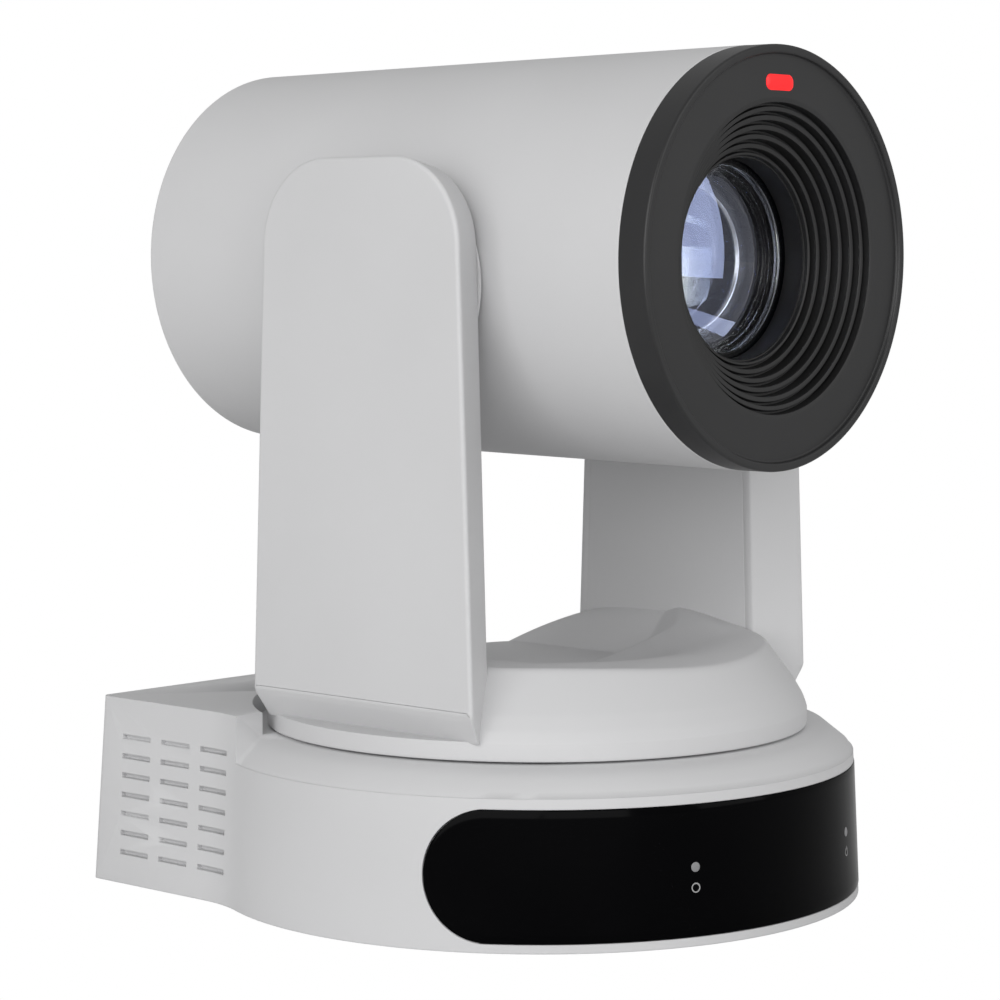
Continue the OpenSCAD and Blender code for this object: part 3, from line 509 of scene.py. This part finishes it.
tally = {
    "wide": 8.75, "high": 3.4, "corner": 1.5,
    "up": 33.3, "front": 61.55, "back": 60.4, "crown": 0.12,
}


# Points (x, z) round a rectangle with round corners.
def roundedRectangle(wide, high, corner, n=10):
    a = np.linspace(0, np.pi / 2, n)[None, :] + np.arange(4)[:, None] * np.pi / 2
    sx = np.array([1, -1, -1, 1])[:, None] * (wide / 2 - corner)
    sz = np.array([1, 1, -1, -1])[:, None] * (high / 2 - corner)
    return np.stack([sx + corner * np.cos(a), sz + corner * np.sin(a)], -1).reshape(-1, 2)


# Rings of one outline, each pulled in by an inset and set at a height.
def shrinkStack(outline, steps, makePoint):
    mid = outline.mean(0)
    reach = outline - mid
    size = np.abs(reach).max(0)
    rings = [makePoint(mid + reach * (1 - inset / size), height) for inset, height in steps]
    return np.concatenate(rings), cappedFaces(len(rings), len(outline))


def tallyLight():
    t = tally
    outline = roundedRectangle(t["wide"], t["high"], t["corner"])

    def place(flat, forward):
        return np.stack([flat[:, 0], np.full(len(flat), -forward), tiltZ + t["up"] + flat[:, 1]], 1)

    # inset and height against the front, from the side up the round edge to the crown
    rise = [(0, -0.3), (0.04, -0.14), (0.15, -0.04), (0.3, 0), (0.9, t["crown"]), (1.3, t["crown"] * 1.2)]
    steps = [(0, t["back"])] + [(inset, t["front"] + height) for inset, height in rise]
    pts, faces = shrinkStack(outline, steps, place)
    makePiece("tallyLight", pts, faces, tallyRed, "head", ["tally_light"])


tallyLight()
print("head outside made")


# Points of a shallow dome from its rim to the axis, s being the sign of its rise:
# forward = edge + s (sqrt(R^2 - r^2) - (R - |rise|)).
def domeArc(radius, edge, rise, n=24, inward=False):
    ball = (radius ** 2 + rise ** 2) / (2 * abs(rise))
    r = radius * np.cos(np.linspace(0, np.pi / 2, n))
    f = edge + math.copysign(1, rise) * (np.sqrt(ball ** 2 - r ** 2) - (ball - abs(rise)))
    arc = np.stack([r, f], 1)
    return arc[::-1] if inward else arc


# mm forward of the tilt axis; dome and hollow are how far the two faces rise or sink
glasses = {
    "frontLens": {"radius": 18.2, "edge": 47.9, "dome": 3.4, "back": 43.2, "hollow": 1.6},
    "secondLens": {"radius": 13.2, "edge": 36.5, "dome": 3.2, "back": 32.6, "hollow": -0.6},
}


# A fixed glass with a ground rim and small chamfers between its two faces.
def lensGlass(name, material, replaced=()):
    g = glasses[name]
    radius, edge, back = g["radius"], g["edge"], g["back"]
    front = domeArc(radius - 0.25, edge + 0.15, g["dome"], inward=True)
    rim = [(radius - 0.08, edge + 0.03), (radius, edge - 0.15), (radius, back + 0.15), (radius - 0.15, back)]
    rear = domeArc(radius - 0.3, back, g["hollow"])
    pts, faces = latheDome(np.concatenate([front, rim, rear]))
    makePiece(name, pts, faces, material, "head", replaced)


lensGlass("frontLens", frontGlass, ["front_lens"])
lensGlass("secondLens", rearGlass)

# (radius, forward): the front seat, the stepped baffles, the long bore, the rear flange and the outside
barrel = {
    "seat": [(20.6, 47.8), (18.3, 47.8), (18.3, 42.9)],
    "baffles": [(17.2, 42.9), (17.2, 41.9), (16.4, 41.9), (16.4, 41.0), (15.6, 41.0), (15.6, 40.0),
                (14.6, 40.0), (14.6, 38.2), (13.3, 38.2), (13.3, 32.4), (12.2, 32.4), (12.2, 31.0),
                (11.2, 31.0), (11.2, 29.6)],
    "bore": [(17.4, 29.6), (17.4, -22.0)],
    "rear": [(7.0, -22.0), (7.0, -24.0), (19.0, -24.0)],
    "outside": [(19.0, 30.0), (20.6, 32.0)],
}


def lensBarrel():
    line = sum(barrel.values(), [])
    profile = softenPath(line, 0.14, steps=3, hold=0.05, closed=True)
    pts, faces = latheAbout(profile, 160)
    makePiece("lensBarrel", pts, faces, cellBlack, "head", ["lens_barrel"])


lensBarrel()


# A thin retaining ring with a bright chamfered edge.
def turnedRing(name, innerR, outerR, at, thick, chamfer=0.3):
    front = at + thick
    line = [(innerR, at), (outerR, at), (outerR, front), (innerR + chamfer, front), (innerR, front - chamfer)]
    pts, faces = latheAbout(softenPath(line, 0.08, steps=3, hold=0.03, closed=True), 160)
    makePiece(name, pts, faces, ringAlloy, "head")


turnedRing("frontLensRing", innerR=17.3, outerR=18.25, at=42.95, thick=0.5)
turnedRing("secondLensRing", innerR=12.6, outerR=14.55, at=38.25, thick=0.55)

cell = {
    "outerR": 16.9, "lip": 0.3,                # the ring's outside, and how far it covers the glass's edge
    "mouth": 2.0, "step": 0.8, "seat": 1.6,    # front: the mouth past the glass, one step, the glass's depth
    "rearMouth": 1.2, "rearSeat": 1.4,
}


# A sliding cell: a black ring that narrows in steps to its glass.
def lensCell(name, low, thick, glassR, material):
    c = cell
    high = low + thick
    line = [
        (glassR - c["lip"], high - c["seat"]), (glassR + c["step"], high - c["seat"]),
        (glassR + c["step"], high - c["step"]), (glassR + c["mouth"], high - c["step"]),
        (glassR + c["mouth"], high), (c["outerR"], high), (c["outerR"], low),
        (glassR + c["rearMouth"], low), (glassR + c["rearMouth"], low + c["rearSeat"]),
        (glassR - c["lip"], low + c["rearSeat"]),
    ]
    pts, faces = latheAbout(softenPath(line, 0.12, steps=3, hold=0.05, closed=True), 128)
    makePiece(name + "Cell", pts, faces, cellBlack, name, [name + "_group"])
    front = domeArc(glassR - 0.2, high - 1.7, 1.5, inward=True)
    rear = domeArc(glassR - 0.2, low + 1.5, -0.8)
    pts, faces = latheDome(np.concatenate([front, rear]))
    makePiece(name + "Glass", pts, faces, material, name)


lensCell("zoom", low=23.0, thick=6.0, glassR=10.4, material=amberGlass)
lensCell("focus", low=-13.0, thick=6.0, glassR=8.8, material=rearGlass)
print("lens made")

# mm; each half width grows from the arm's inner face to its outer face
arm = {
    "inner": 41.3, "outer": 52.0, "bottom": 38.0, "waist": 43.5, "foot": 3.4, "edge": 0.7, "wall": 2.0,
    "top": 148.8, "innerTop": 147.8,
    "footHalf": 24.3, "footGrow": 4.3, "footRun": 7.3, "footFlare": 0.9,
    "waistHalf": 24.3, "waistGrow": 5.4,
    "topHalf": 21.3, "topGrow": 5.0,
    "shoulder": 16.4, "shoulderGrow": 0.6, "corner": 0.3,
    "outsideX": (50.4, 49.6, 48.6, 47.0, 45.0, 43.0, 41.75), "insideX": (43.0, 46.0, 48.6),
}


# One slice of an arm as (y, z): a flat foot, a chamfer, a straight side that leans in, a round shoulder
# and a flat top.
def armOutline(yLow, zLow, yWaist, zWaist, topHalf, shoulder, topZ):
    cy, cz = topHalf - shoulder, topZ - shoulder
    lean = math.atan2(yWaist - topHalf, cz - zWaist)
    a = np.linspace(lean, np.pi / 2, 30)
    arc = np.stack([cy + shoulder * np.cos(a), cz + shoulder * np.sin(a)], 1)
    corners = [(0.35 * yLow, zLow), (yLow, zLow), (yWaist, zWaist), tuple(arc[0])]
    low = softenPath(corners, arm["corner"], steps=4, hold=0.2)
    side = low[-2] + (arc[0] - low[-2]) * np.linspace(0, 1, 14)[1:-1, None]
    half = np.concatenate([[(0, zLow)], low[:-1], side, arc, [(cy * 0.5, topZ)]])
    mirror = half[1:][::-1] * [-1, 1]
    return np.concatenate([half, [(0, topZ)], mirror])


# Slices joined from the outer face inward: the face's round edge, the outer wall, the rim, then the same
# inside the wall.
def armPiece(side):
    a = arm

    # w runs from the inner to the outer face, f up the chamfer of the foot, and d pulls the outline in
    def armSlice(x, d=0.0):
        w = np.clip((x - a["inner"]) / (a["outer"] - a["edge"] - a["inner"]), 0, 1)
        f = np.clip((x - (a["outer"] - a["foot"])) / a["foot"], 0, 1)
        zWaist = a["waist"] + d
        zLow = min(a["bottom"] + (a["waist"] - a["bottom"]) * f + d, zWaist - 0.25)
        grow = min(1, (x - a["inner"]) / a["footRun"])
        yLow = a["footHalf"] + a["footGrow"] * grow + a["footFlare"] * f - d
        yWaist = a["waistHalf"] + a["waistGrow"] * w - d
        topHalf = a["topHalf"] + a["topGrow"] * w - d
        shoulder = a["shoulder"] + a["shoulderGrow"] * w - d
        top = a["innerTop"] + (a["top"] - a["innerTop"]) * w - d
        yz = armOutline(yLow, zLow, yWaist, zWaist, topHalf, shoulder, top)
        return np.stack([np.full(len(yz), side * x), yz[:, 0], yz[:, 1]], 1)

    e = a["edge"]
    turn = np.linspace(0, np.pi / 2, 6)[::-1]
    rim = [(0.12, 0.03), (0.0, 0.18), (0.0, 1.8), (0.05, a["wall"] - 0.1), (0.05, a["wall"] + 0.7)]
    rings = [armSlice(a["outer"], e + 0.3)]
    rings += [armSlice(a["outer"] - e + e * math.sin(t), e - e * math.cos(t)) for t in turn]
    rings += [armSlice(x) for x in a["outsideX"]]
    rings += [armSlice(a["inner"] + out, d) for out, d in rim]
    rings += [armSlice(x, a["wall"]) for x in a["insideX"] + (a["outer"] - a["wall"],)]
    faces = cappedFaces(len(rings), len(rings[0]))
    name, node = ("armRight", "right_arm") if side > 0 else ("armLeft", "left_arm")
    ob = makePiece(name, np.concatenate(rings), faces, greyPlastic, "yoke", [node])
    ob.data.set_sharp_from_angle(angle=math.radians(50))


for side in (-1, 1):
    armPiece(side)

# mm; roof is (y, height) from the front to the rear, cone is (radius, height)
table = {
    "skirt": 55.4, "low": 34.7, "ledge": 38.4, "wall": 2.2, "underside": 36.2, "undersideR": 20,
    "roof": [(-60, 46), (-50, 49.6), (-46, 50.5), (-41, 51.1), (-35, 51.4), (-24, 51.5), (-19, 52.1),
             (-13, 53.3), (-7, 54.8), (-2, 55.9), (3, 56.2), (9, 55.3), (15, 54), (21, 52.8), (25, 51.8),
             (30, 50), (36, 48), (60, 38)],
    "cone": [(43.4, 56.2), (46.8, 51.5), (52.9, 43.2), (54.6, 40.3), (55.15, 38.8), (55.4, 38.0)],
    "coneRise": 1.36,                          # its slope inside the first radius
    "swing": 84.8, "blend": 0.9, "saddle": 3.5,
    "troughHalf": 33.5, "troughSide": 1.2, "troughFront": 0.55,
    "seatX": 48.0, "seatY": 28.2,
    "turns": 560,
}


# The lesser of two surfaces with the crease between them rounded: min(a, b) - k h^2 / 4,
# h = max(k - |a - b|, 0) / k.
def softLess(a, b, k):
    h = np.maximum(k - np.abs(a - b), 0) / k
    return np.minimum(a, b) - h * h * k / 4


# The roof's height along y, run through a fine even blur so that it has no kinks.
def roofHeight(y):
    line = np.array(table["roof"])
    fine = np.arange(-62, 62, 0.25)
    window = np.hanning(21)
    flat = np.pad(np.interp(fine, line[:, 0], line[:, 1]), 10, "edge")
    return np.interp(y, fine, np.convolve(flat, window / window.sum(), "valid"))


# A height over each point of a disc: the lesser of the cone, the roof line, the head's swing ball and the
# rear trough, with the arms' seats cut down to the ledge.
def turntable():
    t = table
    turns = t["turns"]
    radii = np.concatenate([np.linspace(0.0, 38, 64)[1:], np.linspace(38.4, 55.0, 62), [55.15, 55.28, 55.36]])
    u = np.linspace(0, 2 * np.pi, turns, endpoint=False)
    x, y = radii[:, None] * np.cos(u), radii[:, None] * np.sin(u)
    r = np.broadcast_to(radii[:, None], x.shape)
    coneR, coneZ = np.array(t["cone"]).T
    cone = np.interp(r, coneR, coneZ) + np.maximum(coneR[0] - r, 0) * t["coneRise"]
    ball = tiltZ - np.sqrt(np.maximum(t["swing"] ** 2 - r ** 2, 1))
    trough = tiltZ - t["swing"] + np.maximum(np.abs(x) - t["troughHalf"], 0) * t["troughSide"]
    trough += np.maximum(-y, 0) ** 1.3 * t["troughFront"]
    top = softLess(cone, roofHeight(y), t["blend"])
    top = softLess(top, ball, t["saddle"])
    top = softLess(top, trough, t["saddle"])
    seat = (np.abs(x) > t["seatX"]) & (np.abs(y) < t["seatY"])
    top = np.where(seat, np.minimum(top, t["ledge"]), top)
    upper = np.stack([x, y, top], -1)
    skirtIn = t["skirt"] - t["wall"]
    lip = [(t["skirt"], 38.0), (t["skirt"], t["low"]), (skirtIn, t["low"]), (skirtIn, t["underside"]),
           (t["undersideR"], t["underside"])]
    lip = softenPath(lip, 0.35, steps=3)
    lipR, lipZ = lip[:, 0, None], lip[:, 1, None]
    under = np.stack([lipR * np.cos(u), lipR * np.sin(u), np.broadcast_to(lipZ, (len(lip), turns))], -1)
    grid = np.concatenate([upper, under])
    pts = np.concatenate([grid.reshape(-1, 3), [[0, 0, top[0].mean()]]])
    faces = gridFaces(len(grid), turns)
    faces += fanFaces(len(pts) - 1, 0, turns)
    faces.append(list(range((len(grid) - 1) * turns, len(grid) * turns)))
    ob = makePiece("turntableTop", pts, faces, greyPlastic, "yoke", ["turntable"])
    ob.data.set_sharp_from_angle(angle=math.radians(55))


turntable()
print("yoke made")

# mm and degrees from the front; draft is how much the walls lean in for each mm up
base = {
    "round": 66.2, "draft": 0.045, "halfWide": 58.6, "blend": 30.0,
    "windowLow": 2.2, "windowHigh": 27.4, "windowEnd": 67.3,
    "light": 21.3, "lightZ": 15.5,
}
wallMatch = {"near": 0.2, "turn": 3.0}         # mm off a true wall, and degrees off its direction


# A CAD solid copied, its doubles merged and flat faces joined, and shaded smooth up to its real edges.
def mergedCopy(name, node, body, material, angle=28.0):
    mesh = nodes[node].data.copy()
    work = bmesh.new()
    work.from_mesh(mesh)
    bmesh.ops.remove_doubles(work, verts=work.verts, dist=2e-6)
    bmesh.ops.dissolve_limit(work, angle_limit=math.radians(0.3), verts=work.verts, edges=work.edges)
    work.to_mesh(mesh)
    work.free()
    mesh.materials.clear()
    mesh.materials.append(material)
    mesh.shade_smooth()
    mesh.set_sharp_from_angle(angle=math.radians(angle))
    ob = addObject(name, mesh)
    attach(ob, body)
    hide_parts(node)
    return ob


# True wall normals: on the round front n = (x, y, draft r) / r, and on a side blend it points from the
# wall to the blend's own centre. A corner takes it where it lies on that wall and its face already looks
# nearly that way.
def wallNormals(ob):
    b, mesh = base, ob.data
    cx = b["halfWide"] + b["blend"]
    cy = math.sqrt((b["round"] + b["blend"]) ** 2 - cx ** 2)
    count = len(mesh.loops)
    at = np.zeros(len(mesh.vertices) * 3)
    mesh.vertices.foreach_get("co", at)
    index = np.zeros(count, dtype=np.int32)
    mesh.loops.foreach_get("vertex_index", index)
    p = at.reshape(-1, 3)[index] * 1000.0
    normal = np.array([c.vector for c in mesh.corner_normals])
    corners = [f.loop_total for f in mesh.polygons]
    faceNormal = np.repeat(np.array([f.normal for f in mesh.polygons]), corners, axis=0)
    lean = b["draft"] * p[:, 2]
    # centre, radius and whether the wall bulges out or hollows in
    walls = [(0.0, 0.0, b["round"] - lean, 1.0)]
    walls += [(side * cx, cy, b["blend"] + lean, -1.0) for side in (1, -1)]
    for x0, y0, radius, way in walls:
        dx, dy = p[:, 0] - x0, p[:, 1] - y0
        r = np.hypot(dx, dy)
        true = np.stack([way * dx / r, way * dy / r, np.full(count, b["draft"])], 1)
        true /= np.linalg.norm(true, axis=1, keepdims=True)
        alike = (true * faceNormal).sum(1) > math.cos(math.radians(wallMatch["turn"]))
        on = (np.abs(r - radius) < wallMatch["near"]) & alike
        normal[on] = true[on]
    mesh.normals_split_custom_set(normal.tolist())


wallNormals(mergedCopy("baseShell", "base_housing", "base", greyPlastic))


# A point on the leaning round front: radius round - draft z + proud, at an azimuth from the front.
def bandPoints(azimuth, z, proud):
    r = base["round"] - base["draft"] * z + proud
    a = np.radians(azimuth)
    return np.stack([r * np.sin(a), -r * np.cos(a), z], -1)


# A strip round the front whose half height closes as sqrt(1 - t^2) at its two round ends.
def frontWindow():
    b = base
    mid = (b["windowLow"] + b["windowHigh"]) / 2
    half = (b["windowHigh"] - b["windowLow"]) / 2 - 0.1
    capStart = b["windowEnd"] - math.degrees(math.asin(half / b["round"]))
    ends = capStart + (b["windowEnd"] - capStart) * np.sin(np.linspace(0, np.pi / 2, 26))[1:]
    az = np.concatenate([-ends[::-1], np.linspace(-capStart, capStart, 120), ends])
    past = np.abs(np.sin(np.radians(np.abs(az) - capStart))) * b["round"] * (np.abs(az) > capStart)
    far = np.clip(past / half, 0, 1)
    height = half * np.sqrt(np.maximum(1 - far ** 2, 0.0))
    v = np.linspace(-1, 1, 17)[:, None]

    def layer(proud, shrink):
        z = mid + v * np.maximum(height - shrink, 0.02)
        squeeze = 1 - shrink / b["windowEnd"]
        return bandPoints(np.broadcast_to(az * squeeze, z.shape), z, proud)

    # the rim of a layer as one loop: along the bottom and back along the top
    def loop(g):
        return np.concatenate([g[0], g[-1][::-1]])

    front, soft, side, back = layer(0.14, 0.3), layer(0.06, 0.05), layer(-0.2, 0.0), layer(-1.45, 0.0)
    rim = np.stack([loop(g) for g in (front, soft, side, back)])
    m, n = front.shape[:2]
    sheet = np.array(gridFaces(m, n, wrapCols=False))
    pts = np.concatenate([front.reshape(-1, 3), back.reshape(-1, 3), rim.reshape(-1, 3)])
    faces = sheet.tolist() + (sheet[:, ::-1] + m * n).tolist()
    faces += (np.array(gridFaces(len(rim), rim.shape[1])) + 2 * m * n).tolist()
    ob = makePiece("windowBand", pts, faces, glossBlack, "base", ["front_window"])
    faceOut(ob.data, join=1e-6)
    ob.data.set_sharp_from_angle(angle=math.radians(40))


frontWindow()

lamp = {
    "radius": 0.95, "proud": 0.14, "sides": 32,
    "edge": [(1.0, -0.6), (1.0, 0.0), (0.94, 0.07), (0.8, 0.12), (0.4, 0.16)],  # (share of radius, rise)
}
mark = {"radius": 0.95, "width": 0.24, "proud": 0.155, "under": 3.9, "sides": 48}


# Points on the band at (across, up) mm from the centre of a lamp or a mark.
def bandAround(azimuth, z, across, up, proud):
    return bandPoints(azimuth + np.degrees(across / base["round"]), z + up, proud)


# A small round-edged lamp on the band: rings shrink as their height rises.
def bandLamp(name, azimuth, z, node):
    u = np.linspace(0, 2 * np.pi, lamp["sides"], endpoint=False)
    rings = []
    for share, rise in lamp["edge"]:
        r = lamp["radius"] * share
        rings.append(bandAround(azimuth, z, r * np.cos(u), r * np.sin(u), lamp["proud"] + rise))
    faces = cappedFaces(len(rings), lamp["sides"])
    makePiece(name, np.concatenate(rings), faces, ledPlastic, "base", [node])


# A printed mark: part of a flat ring, with an upright bar where asked; gap is in degrees.
def ringMark(name, azimuth, z, gap, bar):
    radius, width, n = mark["radius"], mark["width"], mark["sides"]
    a = np.radians(np.linspace(90 + gap, 450 - gap, n))
    rings = []
    for r in (radius, radius - width):
        rings.append(bandAround(azimuth, z, r * np.cos(a), r * np.sin(a), mark["proud"]))
    faces = gridFaces(2, n, wrapCols=False)
    if bar:
        across = np.array([-1, 1, 1, -1]) * width / 2
        up = np.array([0.15, 0.15, 1.15, 1.15]) * radius
        rings.append(bandAround(azimuth, z, across, up, mark["proud"]))
        faces.append(list(range(2 * n, 2 * n + 4)))
    makePiece(name, np.concatenate(rings), faces, markInk, "base")


for name, side, gap, bar in (("standby", -1, 0, False), ("power", 1, 32, True)):
    bandLamp(name + "Lamp", side * base["light"], base["lightZ"], name + "_light")
    ringMark(name + "Mark", side * base["light"], base["lightZ"] - mark["under"], gap, bar)
print("base made")

studioSet = {
    "floorHalf": 6.0, "daylight": 0.47,        # metres, and the strength of the even light all round
    "glassTint": (0.80, 0.87, 1.0),
}

# place and aim in metres, width and height in metres, power in watts
lightBoxes = {
    "keyBox": ((-1.45, -0.5, 0.42), (0, 0, 0.1), 1.4, 1.4, 14.8),
    "frontBox": ((-0.8, -1.3, 0.2), (0, 0, 0.1), 0.8, 0.8, 4.0),
    "fillBox": ((0.6, -1.4, 0.5), (0, 0, 0.1), 0.8, 0.8, 3.0),
    "glassWindow": ((0.44, -0.95, 0.3), (0, -0.05, 0.13), 0.62, 0.75, 11.0),
    "glassStrip": ((1.0, -0.35, 0.3), (0, -0.05, 0.13), 0.08, 0.7, 3.0),
    "glassLow": ((0.17, -0.25, 0.012), (0, -0.05, 0.13), 0.25, 0.03, 0.14),
    "glassEdge": ((0.95, -0.1, 0.1), (0, -0.05, 0.13), 0.2, 0.5, 2.0),
}


# seamless paper: plain white to the eye, while it sends a little less light back up to the set
def seamlessPaper():
    mat, shader = newMaterial("paperSeamlessWhite", Roughness=0.9, Specular_IOR_Level=0.1)
    place = add(mat, "ShaderNodeTexCoord").outputs["Object"]
    speckle(mat, shader, place, 900.0, "#E2E2E2", "#E4E4E4")
    white = add(mat, "ShaderNodeEmission", {"Color": (1, 1, 1, 1), "Strength": 1.0}).outputs["Emission"]
    seen = add(mat, "ShaderNodeLightPath").outputs["Is Camera Ray"]
    mix = add(mat, "ShaderNodeMixShader", links={"Fac": seen, 1: shader.outputs["BSDF"], 2: white})
    out = next(n for n in mat.node_tree.nodes if n.type == "OUTPUT_MATERIAL")
    wire(out, "Surface", mix.outputs["Shader"])
    return mat


def studioFloor():
    s = studioSet["floorHalf"]
    mesh = bpy.data.meshes.new("studioFloor")
    mesh.from_pydata([(-s, -s, 0), (s, -s, 0), (s, s, 0), (-s, s, 0)], [], [(0, 1, 2, 3)])
    mesh.materials.append(seamlessPaper())
    addObject("studioFloor", mesh)


# The backdrop is plain white paper, brighter than the light that it sends back to the set.
def studioWorld():
    world = bpy.context.scene.world or bpy.data.worlds.new("studio")
    bpy.context.scene.world = world
    world.use_nodes = True
    sky = world.node_tree.nodes["Background"]
    sky.inputs["Color"].default_value = (1, 1, 1, 1)
    sky.inputs["Strength"].default_value = studioSet["daylight"]
    paper = add(world, "ShaderNodeBackground", {"Color": (1, 1, 1, 1), "Strength": 1.0}).outputs["Background"]
    seen = add(world, "ShaderNodeLightPath").outputs["Is Camera Ray"]
    pick = add(world, "ShaderNodeMixShader", links={"Fac": seen, 1: sky.outputs["Background"], 2: paper})
    wire(world.node_tree.nodes["World Output"], "Surface", pick.outputs["Shader"])


# A collection of every piece that has a coated glass on it.
def glassPieces():
    group = bpy.data.collections.new("glassOnly")
    for piece in bpy.data.objects:
        if piece.type == "MESH" and any(m and m.name.startswith("glassCoated") for m in piece.data.materials):
            group.objects.link(piece)
    return group


# The window and strip lights named for glass are seen in the glasses alone.
def studioLights():
    glassOnly = glassPieces()
    for name, (place, aim, wide, high, power) in lightBoxes.items():
        light = bpy.data.lights.new(name, "AREA")
        light.shape = "RECTANGLE"
        light.size = wide
        light.size_y = high
        light.energy = power
        ob = addObject(name, light)
        ob.location = place
        faceBack(ob, Vector(place) - Vector(aim))
        if name.startswith("glass"):
            light.color = studioSet["glassTint"]
            ob.visible_camera = False
            ob.light_linking.receiver_collection = glassOnly


studioFloor()
studioWorld()
studioLights()
bpy.context.scene.view_settings.view_transform = "Standard"
print("studio made")
